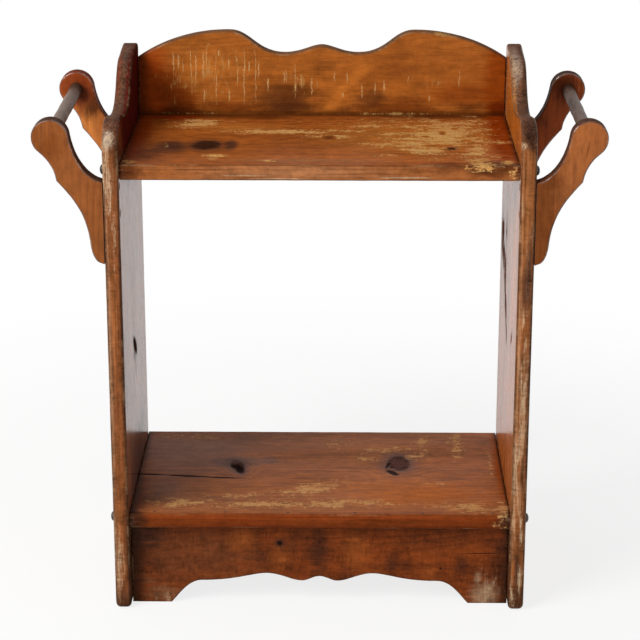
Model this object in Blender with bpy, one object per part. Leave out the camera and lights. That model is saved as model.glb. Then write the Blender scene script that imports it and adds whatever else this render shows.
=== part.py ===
# Small pine washstand. Two shaped side panels carry two shelves, a scalloped splash back and a
# scalloped apron, and each side has a towel bar held by a pair of bracket arms.
# Metres, +Z up, front towards -Y, origin on the floor at the middle of the plan.

import math

import bmesh
import bpy
from mathutils import Matrix, Vector

# Boards and fits
BOARD = 0.01905             # thickness of every board
DEPTH = 0.28575             # width of the wide board that sides and shelves are cut from
WIDTH = 0.508               # over the outer faces of the two side panels
FIT = 0.0003                # glue line or clearance between pieces that touch
ARRIS = 0.0022              # rounding of an exposed edge
ARRIS_STEPS = 2
ARRIS_MIN_ANGLE = math.radians(60)
OVERCUT = 0.003             # how far a drill starts outside the wood
CURVE_STEPS = 6             # straight pieces in one stretch of a sawn curve

# Shelves, heights of their top faces
LOWER_SHELF_Z = 0.127
TOP_SHELF_Z = 0.570
SHELF_SETBACK = 0.005       # front edge behind the panels' front edges

# Side panel outline: heights above the top shelf, distances from the front or back edge
SHOULDER_RISE = 0.019
SHOULDER_PULL = 0.008
CREST_RISE = 0.048
CREST_FROM_FRONT = 0.040
CREST_PULL = 0.020
DIP_RISE = 0.037
DIP_FROM_FRONT = 0.120
DIP_PULL = 0.028
HORN_RISE = 0.0905          # at the back edge
HORN_FALL = 0.006           # how much lower its top is at the front
HORN_FLAT = 0.064           # straight top, measured from the back edge
SWEEP_FROM_BACK = 0.106     # where the rise to the horn is steepest

# Splash back outline: heights above the top shelf, distances from the middle
HUMP_RISE = 0.088
HUMP_PULL = 0.012
VALLEY_RISE = 0.078
VALLEY_X = 0.047
VALLEY_INNER_PULL = 0.021
VALLEY_OUTER_PULL = 0.037
LOBE_RISE = 0.107
LOBE_X = 0.118
LOBE_INNER_PULL = 0.028
LOBE_OUTER_PULL = 0.042
SPLASH_END_RISE = 0.072
SPLASH_END_PULL = (0.035, 0.024)

# Apron outline: heights above the floor, distances from the middle or from the panel
APRON_SETBACK = 0.020       # front face behind the panels' front edges
FOOT_WIDTH = 0.049
FOOT_PULL = (0.010, 0.006)
FOOT_SLOPE = 0.038          # run of the curve from the floor up to the underside
UNDERSIDE_Z = 0.030
UNDERSIDE_PULL = 0.012
UNDERSIDE_REACH = 0.046
ARCH_X = 0.067
ARCH_Z = 0.040
ARCH_PULL = 0.018
CUP_X = 0.022
CUP_Z = 0.030
CUP_PULL = 0.014
TIP_Z = 0.036
TIP_PULL = 0.008

# Towel arm outline: distances out from the panel, heights from the top shelf
ARM_ROOT_DROP = 0.0205
ARM_ROOT_PULL = (0.022, 0.007)
KNOB_OUT = 0.060
KNOB_RISE = 0.0325
KNOB_RADIUS = 0.022
KNOB_START = math.radians(175)
KNOB_END = math.radians(-52)
KNOB_STEPS = 14
KNOB_INNER_PULL = (0.004, 0.0245)
KNOB_OUTER_PULL = (0.012, 0.0095)
NECK_OUT = 0.054
NECK_DROP = 0.019
NECK_UPPER_PULL = (0.0015, 0.011)
NECK_LOWER_PULL = (0.018, 0.020)
WAIST_OUT = 0.017
WAIST_DROP = 0.091
WAIST_UPPER_PULL = (0.004, 0.033)
WAIST_LOWER_PULL = (0.001, 0.015)
ARM_FOOT_DROP = 0.1205
ARM_FOOT_PULL = 0.012

# Towel bar, trapped in blind sockets
BAR_RADIUS = 0.0079375
BAR_PLAY = 0.0004
BAR_CHAMFER = 0.001
BAR_SIDES = 24
SOCKET_DEPTH = 0.011

# Wood screws and the button plugs over them
SCREW_HEAD_RADIUS = 0.00425
SCREW_HEAD_RIM = 0.0005
SCREW_HEAD_HEIGHT = 0.003
SCREW_SHANK_RADIUS = 0.0021
SCREW_POINT = 0.006
SCREW_SIDES = 12
SCREW_SINK = 0.0006         # flush head below the face
SCREW_MOUTH_RADIUS = 0.0049
TURNED_CREASE = math.radians(40)
SHELF_SCREW_LENGTH = 0.038
SHELF_SCREW_SINK = 0.0055   # counterbored head below the face
SHELF_SCREW_INSET = 0.020   # from the panel's front edge and the shelf's back edge
ARM_SCREW_LENGTH = 0.032
ARM_SCREW_DROPS = {"upper": 0.027, "lower": 0.060}
SPLASH_SCREW_LENGTH = 0.038
SPLASH_SCREW_SPACING = 0.160
PLUG_HOLE_RADIUS = 0.0047625
PLUG_TENON = 0.0045
PLUG_CAP_RADIUS = 0.006
PLUG_CAP_RIM = 0.0012
PLUG_CAP_HEIGHT = 0.0045
PLUG_DOME_STEPS = 4

# Glue blocks behind the apron
BLOCK_LEG = 0.022
BLOCK_LENGTH = 0.060
BLOCK_X = 0.120

# Places worked out from the sizes above
FRONT = -DEPTH / 2
BACK = DEPTH / 2
PANEL_OUT = WIDTH / 2
PANEL_IN = PANEL_OUT - BOARD
INSIDE_END = PANEL_IN - FIT
ARM_ROOT = PANEL_OUT + FIT
KNOB_X = PANEL_OUT + KNOB_OUT
KNOB_Z = TOP_SHELF_Z + KNOB_RISE
SHELF_TOPS = {"lower": LOWER_SHELF_Z, "top": TOP_SHELF_Z}
SHELF_BACKS = {"lower": BACK, "top": BACK - BOARD - FIT}
SIDES = {"left": -1, "right": 1}
ENDS = {"front": -1, "rear": 1}


def bezier(start, lead, trail, end, steps=CURVE_STEPS):
    """Points of a cubic curve, from its start up to but without its end."""
    points = []
    for step in range(steps):
        t = step / steps
        s = 1 - t
        weights = (s ** 3, 3 * s * s * t, 3 * s * t * t, t ** 3)
        corners = (start, lead, trail, end)
        points.append(tuple(sum(w * c[k] for w, c in zip(weights, corners)) for k in (0, 1)))
    return points


def arc(centre, radius, first, last, steps):
    """Points on a circle, from the first angle up to but without the last."""
    angles = [first + (last - first) * step / steps for step in range(steps)]
    return [on_circle(centre, radius, angle) for angle in angles]


def on_circle(centre, radius, angle):
    return (centre[0] + radius * math.cos(angle), centre[1] + radius * math.sin(angle))


def mirrored(half):
    """A closed outline from its right half, which starts on the middle line."""
    return half + [(-x, z) for x, z in reversed(half[1:])]


def make_material(name, colour, roughness, metallic=0.0):
    material = bpy.data.materials.new(name)
    material.use_nodes = True
    shader = material.node_tree.nodes["Principled BSDF"]
    shader.inputs["Base Color"].default_value = (*colour, 1.0)
    shader.inputs["Roughness"].default_value = roughness
    shader.inputs["Metallic"].default_value = metallic
    return material


def make_mesh(name, bm, material=None, smooth_angle=None):
    bmesh.ops.recalc_face_normals(bm, faces=bm.faces)
    mesh = bpy.data.meshes.new(name)
    bm.to_mesh(mesh)
    bm.free()
    if smooth_angle is not None:
        mesh.shade_smooth()
        mesh.set_sharp_from_angle(angle=smooth_angle)
    if material is not None:
        mesh.materials.append(material)
    return mesh


def place_object(name, mesh, placement):
    """Hangs a named object on the stand's empty, at its place."""
    obj = bpy.data.objects.new(name, mesh)
    obj.matrix_basis = placement
    obj.parent = stand
    bpy.context.scene.collection.objects.link(obj)
    return obj


def board_mesh(outline, normal, thickness):
    """A sawn outline with a thickness, centred on its own plane.

    The outline is in (Y, Z) for a board that faces X, and in (X, Z) for one that faces Y.
    """
    bm = bmesh.new()
    if normal == "X":
        corners = [bm.verts.new((-thickness / 2, u, v)) for u, v in outline]
        offset = Vector((thickness, 0, 0))
    else:
        corners = [bm.verts.new((u, -thickness / 2, v)) for u, v in outline]
        offset = Vector((0, thickness, 0))
    face = bm.faces.new(corners)
    extruded = bmesh.ops.extrude_face_region(bm, geom=[face])
    moved = [item for item in extruded["geom"] if isinstance(item, bmesh.types.BMVert)]
    bmesh.ops.translate(bm, verts=moved, vec=offset)
    bmesh.ops.recalc_face_normals(bm, faces=bm.faces)
    return bm


def round_arrises(bm, hidden=lambda corner: False):
    """Rounds the square edges, except those that lie wholly in a hidden joint."""
    def is_exposed(edge):
        return not all(hidden(vert.co) for vert in edge.verts)

    sharp = [e for e in bm.edges if e.calc_face_angle() > ARRIS_MIN_ANGLE and is_exposed(e)]
    bmesh.ops.bevel(bm, geom=sharp, offset=ARRIS, segments=ARRIS_STEPS, profile=0.5,
                    affect="EDGES", clamp_overlap=False)


def add_turned(bm, profile, sides, placement):
    """Adds a turned solid to a bmesh. The profile runs along +Z and both ends are on the axis."""
    rings = []
    for radius, height in profile[1:-1]:
        turns = [math.tau * side / sides for side in range(sides)]
        ring = [(radius * math.cos(turn), radius * math.sin(turn), height) for turn in turns]
        rings.append([bm.verts.new(placement @ Vector(point)) for point in ring])
    poles = [bm.verts.new(placement @ Vector((0, 0, profile[end][1]))) for end in (0, -1)]
    for side in range(sides):
        after = (side + 1) % sides
        bm.faces.new((poles[0], rings[0][after], rings[0][side]))
        bm.faces.new((poles[1], rings[-1][side], rings[-1][after]))
        for lower, upper in zip(rings, rings[1:]):
            bm.faces.new((lower[side], lower[after], upper[after], upper[side]))


def aimed(point, direction):
    """A placement that takes +Z to a direction and the origin to a point."""
    turn = Vector(direction).to_track_quat("Z", "Y").to_matrix().to_4x4()
    return Matrix.Translation(point) @ turn


def drill(board, name, bores, sides):
    """Cuts turned bores, each a profile with its placement in the stand, out of a board."""
    bm = bmesh.new()
    for profile, placement in bores:
        add_turned(bm, profile, sides, placement)
    cutter = place_object(board.name + "_" + name, make_mesh(name, bm), Matrix())
    cutter.display_type = "WIRE"
    cutter.hide_render = True
    cut = board.modifiers.new(name, "BOOLEAN")
    cut.operation = "DIFFERENCE"
    cut.solver = "EXACT"
    cut.object = cutter


def screw_profile(length):
    return [
        (0, 0),
        (SCREW_HEAD_RADIUS, 0),
        (SCREW_HEAD_RADIUS, SCREW_HEAD_RIM),
        (SCREW_SHANK_RADIUS, SCREW_HEAD_HEIGHT),
        (SCREW_SHANK_RADIUS, length - SCREW_POINT),
        (0, length),
    ]


def screw_bore(length, sink, mouth_radius):
    """Clearance for a screw whose head lies below the face that it is driven into."""
    shank = SCREW_SHANK_RADIUS + FIT
    return [
        (0, -sink - OVERCUT),
        (mouth_radius, -sink - OVERCUT),
        (mouth_radius, SCREW_HEAD_RIM),
        (SCREW_HEAD_RADIUS + FIT, SCREW_HEAD_RIM),
        (shank, SCREW_HEAD_HEIGHT),
        (shank, length - SCREW_POINT),
        (0, length + FIT),
    ]


def plug_profile():
    tenon = PLUG_HOLE_RADIUS - FIT
    cap = PLUG_TENON + FIT
    profile = [(0, 0), (tenon, 0), (tenon, cap), (PLUG_CAP_RADIUS, cap)]
    rim = cap + PLUG_CAP_RIM
    crown = PLUG_CAP_HEIGHT - PLUG_CAP_RIM
    for step in range(PLUG_DOME_STEPS):
        angle = math.pi / 2 * step / PLUG_DOME_STEPS
        profile.append((PLUG_CAP_RADIUS * math.cos(angle), rim + crown * math.sin(angle)))
    profile.append((0, rim + crown))
    return profile


def panel_outline():
    shoulder = (FRONT, TOP_SHELF_Z + SHOULDER_RISE)
    crest = (FRONT + CREST_FROM_FRONT, TOP_SHELF_Z + CREST_RISE)
    dip = (FRONT + DIP_FROM_FRONT, TOP_SHELF_Z + DIP_RISE)
    horn_top = TOP_SHELF_Z + HORN_RISE
    horn = (BACK - HORN_FLAT, horn_top - HORN_FALL)
    sweep = BACK - SWEEP_FROM_BACK
    outline = [(BACK, 0), (FRONT, 0)]
    outline += bezier(shoulder, (FRONT, shoulder[1] + SHOULDER_PULL),
                      (crest[0] - CREST_PULL, crest[1]), crest)
    outline += bezier(crest, (crest[0] + CREST_PULL, crest[1]), (dip[0] - DIP_PULL, dip[1]), dip)
    outline += bezier(dip, (sweep, dip[1]), (sweep, horn[1]), horn, 2 * CURVE_STEPS)
    outline += [horn, (BACK, horn_top)]
    return outline


def splash_outline():
    bottom = TOP_SHELF_Z - BOARD
    hump = (0, TOP_SHELF_Z + HUMP_RISE)
    valley = (VALLEY_X, TOP_SHELF_Z + VALLEY_RISE)
    lobe = (LOBE_X, TOP_SHELF_Z + LOBE_RISE)
    end = (INSIDE_END, TOP_SHELF_Z + SPLASH_END_RISE)
    half = bezier(hump, (HUMP_PULL, hump[1]), (valley[0] - VALLEY_INNER_PULL, valley[1]), valley)
    half += bezier(valley, (valley[0] + VALLEY_OUTER_PULL, valley[1]),
                   (lobe[0] - LOBE_INNER_PULL, lobe[1]), lobe)
    half += bezier(lobe, (lobe[0] + LOBE_OUTER_PULL, lobe[1]),
                   (end[0] - SPLASH_END_PULL[0], end[1] + SPLASH_END_PULL[1]), end)
    half += [end, (end[0], bottom)]
    return mirrored(half)


def apron_outline():
    top = LOWER_SHELF_Z - BOARD - FIT
    tip = (0, TIP_Z)
    cup = (CUP_X, CUP_Z)
    arch = (ARCH_X, ARCH_Z)
    foot = (INSIDE_END - FOOT_WIDTH, 0)
    under = (foot[0] - FOOT_SLOPE, UNDERSIDE_Z)
    half = bezier(tip, (TIP_PULL, tip[1]), (cup[0] - TIP_PULL, cup[1]), cup)
    half += bezier(cup, (cup[0] + CUP_PULL, cup[1]), (arch[0] - ARCH_PULL, arch[1]), arch)
    half += bezier(arch, (arch[0] + ARCH_PULL, arch[1]),
                   (under[0] - UNDERSIDE_REACH, under[1]), under)
    half += bezier(under, (under[0] + UNDERSIDE_PULL, under[1]),
                   (foot[0] - FOOT_PULL[0], FOOT_PULL[1]), foot)
    half += [foot, (INSIDE_END, 0), (INSIDE_END, top)]
    return mirrored(half)


def arm_outline():
    """The right-hand bracket arm, from the top of its root round the knob to its foot."""
    root = (ARM_ROOT, TOP_SHELF_Z - ARM_ROOT_DROP)
    knob = (KNOB_X, KNOB_Z)
    into_knob = on_circle(knob, KNOB_RADIUS, KNOB_START)
    out_of_knob = on_circle(knob, KNOB_RADIUS, KNOB_END)
    neck = (PANEL_OUT + NECK_OUT, TOP_SHELF_Z - NECK_DROP)
    waist = (PANEL_OUT + WAIST_OUT, TOP_SHELF_Z - WAIST_DROP)
    foot = (ARM_ROOT, TOP_SHELF_Z - ARM_FOOT_DROP)

    def shifted(point, pull, x_sign, z_sign):
        return (point[0] + x_sign * pull[0], point[1] + z_sign * pull[1])

    outline = bezier(root, shifted(root, ARM_ROOT_PULL, 1, 1),
                     shifted(into_knob, KNOB_INNER_PULL, -1, -1), into_knob)
    outline += arc(knob, KNOB_RADIUS, KNOB_START, KNOB_END, KNOB_STEPS)
    outline += bezier(out_of_knob, shifted(out_of_knob, KNOB_OUTER_PULL, -1, -1),
                      shifted(neck, NECK_UPPER_PULL, 1, 1), neck)
    outline += bezier(neck, shifted(neck, NECK_LOWER_PULL, -1, -1),
                      shifted(waist, WAIST_UPPER_PULL, 1, 1), waist)
    outline += bezier(waist, shifted(waist, WAIST_LOWER_PULL, -1, -1),
                      (foot[0] + ARM_FOOT_PULL, foot[1]), foot)
    outline.append(foot)
    return outline


def shelf_screw_places(side, shelf):
    """Where the heads of one shelf end's screws lie, and the way they are driven."""
    head = SIDES[side] * (PANEL_OUT - SHELF_SCREW_SINK)
    height = SHELF_TOPS[shelf] - BOARD / 2
    rows = {"front": FRONT + SHELF_SCREW_INSET, "rear": SHELF_BACKS[shelf] - SHELF_SCREW_INSET}
    return {end: aimed((head, y, height), (-SIDES[side], 0, 0)) for end, y in rows.items()}


def plug_places(side, shelf):
    """Where the tenons of the plugs over those screws start."""
    foot = SIDES[side] * (PANEL_OUT - PLUG_TENON)
    places = {}
    for end, head in shelf_screw_places(side, shelf).items():
        point = (foot, head.translation.y, head.translation.z)
        places[end] = aimed(point, (SIDES[side], 0, 0))
    return places


def arm_screw_places(side, end):
    """Where the heads of one arm's screws lie, in the inner face of the panel."""
    head = SIDES[side] * (PANEL_IN + SCREW_SINK)
    y = ENDS[end] * (BACK - BOARD / 2)
    heights = {row: TOP_SHELF_Z - drop for row, drop in ARM_SCREW_DROPS.items()}
    return {row: aimed((head, y, z), (SIDES[side], 0, 0)) for row, z in heights.items()}


def splash_screw_places():
    """Where the heads of the splash back's screws lie, in its back face behind the top shelf."""
    head = BACK - SCREW_SINK
    height = TOP_SHELF_Z - BOARD / 2
    columns = {"left": -SPLASH_SCREW_SPACING, "middle": 0, "right": SPLASH_SCREW_SPACING}
    return {name: aimed((x, head, height), (0, -1, 0)) for name, x in columns.items()}


def bored(profile, places):
    return [(profile, place) for place in places.values()]


def build_side_panel(side):
    bm = board_mesh(panel_outline(), "X", BOARD)
    round_arrises(bm)
    place = Matrix.Translation((SIDES[side] * (PANEL_OUT - BOARD / 2), 0, 0))
    panel = place_object(side + "_side_panel", make_mesh("side_panel", bm, panel_pine), place)
    bores = []
    for shelf in SHELF_TOPS:
        bores += bored(shelf_bore, shelf_screw_places(side, shelf))
    for end in ENDS:
        bores += bored(arm_bore, arm_screw_places(side, end))
    drill(panel, "bores", bores, SCREW_SIDES)


def build_shelf(shelf):
    front = FRONT + SHELF_SETBACK
    depth = SHELF_BACKS[shelf] - front
    half = [(0, -BOARD / 2), (INSIDE_END, -BOARD / 2), (INSIDE_END, BOARD / 2), (0, BOARD / 2)]
    outline = half + [(-INSIDE_END, BOARD / 2), (-INSIDE_END, -BOARD / 2)]
    bm = board_mesh(outline, "Y", depth)
    end = INSIDE_END - FIT
    round_arrises(bm, lambda corner: abs(corner.x) > end)
    place = Matrix.Translation((0, front + depth / 2, SHELF_TOPS[shelf] - BOARD / 2))
    board = place_object(shelf + "_shelf", make_mesh("shelf", bm, shelf_pine), place)
    bores = []
    for side in SIDES:
        bores += bored(shelf_bore, shelf_screw_places(side, shelf))
    if shelf == "top":
        bores += bored(splash_bore, splash_screw_places())
    drill(board, "bores", bores, SCREW_SIDES)


def build_splash_back():
    bm = board_mesh(splash_outline(), "Y", BOARD)
    end = INSIDE_END - FIT
    round_arrises(bm, lambda corner: abs(corner.x) > end)
    place = Matrix.Translation((0, BACK - BOARD / 2, 0))
    splash = place_object("splash_back", make_mesh("splash_back", bm, splash_pine), place)
    drill(splash, "bores", bored(splash_bore, splash_screw_places()), SCREW_SIDES)


def build_apron():
    bm = board_mesh(apron_outline(), "Y", BOARD)
    end = INSIDE_END - FIT
    seat = LOWER_SHELF_Z - BOARD - 2 * FIT
    round_arrises(bm, lambda corner: abs(corner.x) > end or corner.z > seat)
    place = Matrix.Translation((0, FRONT + APRON_SETBACK + BOARD / 2, 0))
    place_object("front_apron", make_mesh("front_apron", bm, apron_pine), place)


def build_glue_block(side):
    behind = FRONT + APRON_SETBACK + BOARD + FIT
    under = LOWER_SHELF_Z - BOARD - FIT
    outline = [(behind, under), (behind, under - BLOCK_LEG), (behind + BLOCK_LEG, under)]
    bm = board_mesh(outline, "X", BLOCK_LENGTH)
    place = Matrix.Translation((SIDES[side] * BLOCK_X, 0, 0))
    place_object(side + "_glue_block", make_mesh("glue_block", bm, block_pine), place)


def build_towel_arm(side, end):
    outline = [(SIDES[side] * x, z) for x, z in arm_outline()]
    bm = board_mesh(outline, "Y", BOARD)
    round_arrises(bm, lambda corner: abs(corner.x) < ARM_ROOT + FIT)
    place = Matrix.Translation((0, ENDS[end] * (BACK - BOARD / 2), 0))
    arm = place_object(side + "_" + end + "_towel_arm", make_mesh("arm", bm, arm_pine), place)
    drill(arm, "bores", bored(arm_bore, arm_screw_places(side, end)), SCREW_SIDES)
    radius = BAR_RADIUS + BAR_PLAY
    socket = [(0, -OVERCUT), (radius, -OVERCUT), (radius, SOCKET_DEPTH), (0, SOCKET_DEPTH)]
    mouth = (SIDES[side] * KNOB_X, ENDS[end] * (BACK - BOARD), KNOB_Z)
    drill(arm, "socket", [(socket, aimed(mouth, (0, ENDS[end], 0)))], BAR_SIDES)


def build_towel_bar(side):
    half = BACK - BOARD + SOCKET_DEPTH - FIT
    narrow = BAR_RADIUS - BAR_CHAMFER
    profile = [(0, -half), (narrow, -half), (BAR_RADIUS, BAR_CHAMFER - half)]
    profile += [(BAR_RADIUS, half - BAR_CHAMFER), (narrow, half), (0, half)]
    mesh = turned_mesh("towel_bar", profile, BAR_SIDES, bar_wood)
    axis = aimed((SIDES[side] * KNOB_X, 0, KNOB_Z), (0, 1, 0))
    place_object(side + "_towel_bar", mesh, axis)


def turned_mesh(name, profile, sides, material):
    bm = bmesh.new()
    add_turned(bm, profile, sides, Matrix())
    return make_mesh(name, bm, material, TURNED_CREASE)


def build_fasteners(prefix, mesh, places):
    """Equal turned fasteners, each an object of its own on one shared mesh."""
    for name, place in places.items():
        place_object(prefix + "_" + name, mesh, place)


for old in list(bpy.data.objects):
    bpy.data.objects.remove(old, do_unlink=True)

stand = bpy.data.objects.new("washstand", None)
bpy.context.scene.collection.objects.link(stand)

panel_pine = make_material("panel_pine", (0.30, 0.115, 0.035), 0.35)
shelf_pine = make_material("shelf_pine", (0.25, 0.095, 0.032), 0.38)
splash_pine = make_material("splash_pine", (0.27, 0.095, 0.022), 0.38)
apron_pine = make_material("apron_pine", (0.17, 0.065, 0.022), 0.42)
arm_pine = make_material("arm_pine", (0.28, 0.10, 0.025), 0.38)
bar_wood = make_material("bar_wood", (0.20, 0.14, 0.105), 0.45)
block_pine = make_material("block_pine", (0.45, 0.28, 0.14), 0.7)
plug_wood = make_material("plug_wood", (0.035, 0.016, 0.009), 0.4)
screw_steel = make_material("screw_steel", (0.16, 0.14, 0.13), 0.45, 1.0)

shelf_screw = turned_mesh("shelf_screw", screw_profile(SHELF_SCREW_LENGTH), SCREW_SIDES, screw_steel)
arm_screw = turned_mesh("arm_screw", screw_profile(ARM_SCREW_LENGTH), SCREW_SIDES, screw_steel)
splash_screw = turned_mesh("splash_screw", screw_profile(SPLASH_SCREW_LENGTH), SCREW_SIDES, screw_steel)
button_plug = turned_mesh("button_plug", plug_profile(), SCREW_SIDES, plug_wood)
shelf_bore = screw_bore(SHELF_SCREW_LENGTH, SHELF_SCREW_SINK, PLUG_HOLE_RADIUS)
arm_bore = screw_bore(ARM_SCREW_LENGTH, SCREW_SINK, SCREW_MOUTH_RADIUS)
splash_bore = screw_bore(SPLASH_SCREW_LENGTH, SCREW_SINK, SCREW_MOUTH_RADIUS)

build_splash_back()
build_fasteners("splash_screw", splash_screw, splash_screw_places())
build_apron()
for shelf in SHELF_TOPS:
    build_shelf(shelf)
for side in SIDES:
    build_side_panel(side)
    build_glue_block(side)
    build_towel_bar(side)
    for shelf in SHELF_TOPS:
        prefix = side + "_" + shelf + "_shelf_"
        build_fasteners(prefix + "screw", shelf_screw, shelf_screw_places(side, shelf))
        build_fasteners(prefix + "plug", button_plug, plug_places(side, shelf))
    for end in ENDS:
        build_towel_arm(side, end)
        prefix = side + "_" + end + "_arm_screw"
        build_fasteners(prefix, arm_screw, arm_screw_places(side, end))
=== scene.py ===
# Looks of a small pine washstand: worn varnish, knots, scuffs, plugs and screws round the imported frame.
import math

import bmesh
import bpy
import numpy as np
from mathutils import Matrix, Vector


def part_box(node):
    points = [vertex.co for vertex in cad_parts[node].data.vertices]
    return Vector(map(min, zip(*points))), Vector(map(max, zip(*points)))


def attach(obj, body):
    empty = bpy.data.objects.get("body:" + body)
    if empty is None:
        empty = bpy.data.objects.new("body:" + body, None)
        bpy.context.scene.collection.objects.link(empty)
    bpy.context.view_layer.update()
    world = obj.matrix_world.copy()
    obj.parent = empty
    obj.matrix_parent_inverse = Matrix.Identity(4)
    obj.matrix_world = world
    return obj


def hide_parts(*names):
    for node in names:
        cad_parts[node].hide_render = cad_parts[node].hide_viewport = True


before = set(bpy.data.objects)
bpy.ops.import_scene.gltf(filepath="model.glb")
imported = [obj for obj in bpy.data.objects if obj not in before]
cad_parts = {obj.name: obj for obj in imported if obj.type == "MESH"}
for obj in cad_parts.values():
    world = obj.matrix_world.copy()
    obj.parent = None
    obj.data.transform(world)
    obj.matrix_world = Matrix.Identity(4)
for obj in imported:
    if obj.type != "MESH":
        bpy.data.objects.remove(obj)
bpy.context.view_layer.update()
print("frame:", len(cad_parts), "nodes")

bothSides = (("left", -1), ("right", 1))
bothEnds = (("front", -1), ("rear", 1))


def bezierRun(start, lead, trail, end, steps=18):
    # cubic curve: four points weighted by the powers of t and 1 - t, its end left out
    t = np.linspace(0, 1, steps, endpoint=False)[:, None]
    s = 1 - t
    a, b, c, d = (np.array(point, float) for point in (start, lead, trail, end))
    return s**3 * a + 3 * s * s * t * b + 3 * s * t * t * c + t**3 * d


def arcRun(centre, radius, first, last, steps=30):
    # points of a circle from the first angle to the last, its end left out
    angle = np.linspace(first, last, steps, endpoint=False)
    return np.stack([centre[0] + radius * np.cos(angle), centre[1] + radius * np.sin(angle)], 1)


def cornerRun(point, arrive, leave, radius, steps=6, handle=0.45):
    # a worn corner: a cubic curve from one edge to the next, its handles drawn towards the corner
    point, arrive, leave = (np.array(value, float) for value in (point, arrive, leave))
    start, end = point - arrive * radius, point + leave * radius
    curve = bezierRun(start, point - arrive * radius * handle, point + leave * radius * handle, end, steps)
    return np.vstack([curve, end[None]])


def leftTurning(loop):
    # the loop runs anticlockwise, by the sign of its area
    after = np.roll(loop, -1, 0)
    area = (loop[:, 0] * after[:, 1] - after[:, 0] * loop[:, 1]).sum()
    return loop if area > 0 else loop[::-1]


# How every sawn board is cut into faces.
edgeProfile = {
    "steps": 4,                    # rings of each rounded arris
    "rim": 0.0010,                 # flat ring inside each arris
    "clear": 0.006,                # length kept free of points on both sides of a sharp corner
    "sharp": 25,                   # degrees from which a corner counts as sharp
    "fade": 0.7,                   # below 1 the arris mark covers more of the arris
    "holeSides": 28,
    "crease": 40,                  # degrees from which an edge is shaded sharp
}


def evenSteps(loop, spacing):
    # every edge of the closed loop is cut into equal steps no longer than the spacing;
    # close to a sharp corner only the corner itself is kept, so that a smaller loop inside doesn't fold
    before, after = np.roll(loop, 1, 0), np.roll(loop, -1, 0)
    length = np.linalg.norm(after - loop, axis=1)
    arrive, leave = (loop - before) / np.roll(length, 1)[:, None], (after - loop) / length[:, None]
    sharp = (arrive * leave).sum(1) < math.cos(math.radians(edgeProfile["sharp"]))
    count = np.maximum(1, np.ceil(length / spacing)).astype(int)
    share = np.arange(count.sum()) - np.repeat(np.cumsum(count) - count, count)
    t = (share / np.repeat(count, count))[:, None]
    steps = np.repeat(loop, count, 0) * (1 - t) + np.repeat(after, count, 0) * t
    start = np.cumsum(length) - length
    travel = np.repeat(start, count) + np.repeat(length, count) * t[:, 0]
    apart = np.abs(travel[:, None] - start[sharp][None])
    apart = np.minimum(apart, length.sum() - apart)
    return steps[((apart < 1e-9) | (apart > edgeProfile["clear"])).all(1)]


def loopNoise(count, seed, waves):
    # a sum of sine waves round a closed loop, each with whole turns, its own phase and its own height
    draw = np.random.default_rng(seed)
    turn = np.linspace(0, 2 * math.pi, count, endpoint=False)[:, None]
    turns = np.array(waves)
    phase = draw.uniform(0, 2 * math.pi, len(turns))
    height = draw.uniform(0.5, 1, len(turns))
    return (height * np.sin(turn * turns + phase)).sum(1) / height.sum()


def wornArris(size, seed, foot=0.0, footHeight=0.0, depth=0.35):
    # arris radius along a loop: the plain radius, rubbed unevenly, and rounder near the floor
    def radii(loop):
        waves = (3, 5, 8, 13, 21, 34, 55)
        both = [size * (1 + depth * loopNoise(len(loop), seed + k, waves)) for k in (0, 1)]
        near = np.clip(1 - loop[:, 1] / footHeight, 0, 1) if footHeight else 0
        return [radius + foot * near for radius in both]
    return radii


def boardSurface(loop, half, arris, grain):
    # An edge profile carried round the loop. Over an angle from 0 to 90 degrees a ring is drawn in by
    # the arris radius times 1 - sine and lowered from the face by the radius times 1 - cosine; the two
    # arrises meet at the sawn edge, and a flat rim inside each arris keeps the faces flat.
    before = loop - np.roll(loop, 1, 0)
    after = np.roll(loop, -1, 0) - loop
    normals = [np.stack([edge[:, 1], -edge[:, 0]], 1) / np.linalg.norm(edge, axis=1)[:, None]
               for edge in (before, after)]
    mitre = (normals[0] + normals[1]) / (1 + (normals[0] * normals[1]).sum(1))[:, None]
    outward = mitre / np.linalg.norm(mitre, axis=1)[:, None]
    angle = np.linspace(0, math.pi / 2, edgeProfile["steps"] + 1)[:, None]
    upper, lower = arris
    flat = max(upper.max(), lower.max()) + edgeProfile["rim"] + 0 * loop[None, :, 0]
    inset = np.vstack([flat, upper * (1 - np.sin(angle)), 0 * flat,
                       (lower * (1 - np.sin(angle)))[::-1], flat])
    height = np.vstack([half + 0 * flat, half - upper * (1 - np.cos(angle)), 0 * flat,
                        (lower * (1 - np.cos(angle)) - half)[::-1], -half + 0 * flat])
    ringCount, stepCount = inset.shape
    points = np.empty((ringCount, stepCount, 3))
    points[:, :, :2] = loop[None] - mitre[None] * inset[:, :, None]
    points[:, :, 2] = height
    turned = np.concatenate([[0], np.linspace(0, 1, edgeProfile["steps"] + 1)])
    edge = np.concatenate([turned, [1], turned[::-1]])
    swell = np.sin(turned * math.pi) ** edgeProfile["fade"]
    arrisMark = np.concatenate([swell, [0], swell[::-1]])
    endMark = np.abs(outward @ np.array(grain, float))
    marks = {
        "sawnEdge": np.repeat(edge, stepCount),
        "arris": np.repeat(np.clip(arrisMark, 0, 1), stepCount),
        "endGrain": (edge[:, None] * endMark[None]).ravel(),
    }
    return points, marks


def ringQuads(ringCount, stepCount, first=0):
    # quads between neighbouring closed rings of a grid
    ring, step = np.meshgrid(np.arange(ringCount - 1), np.arange(stepCount), indexing="ij")
    after = (step + 1) % stepCount
    corners = [ring * stepCount + step, ring * stepCount + after,
               (ring + 1) * stepCount + after, (ring + 1) * stepCount + step]
    return first + np.stack(corners, -1).reshape(-1, 4)


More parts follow.
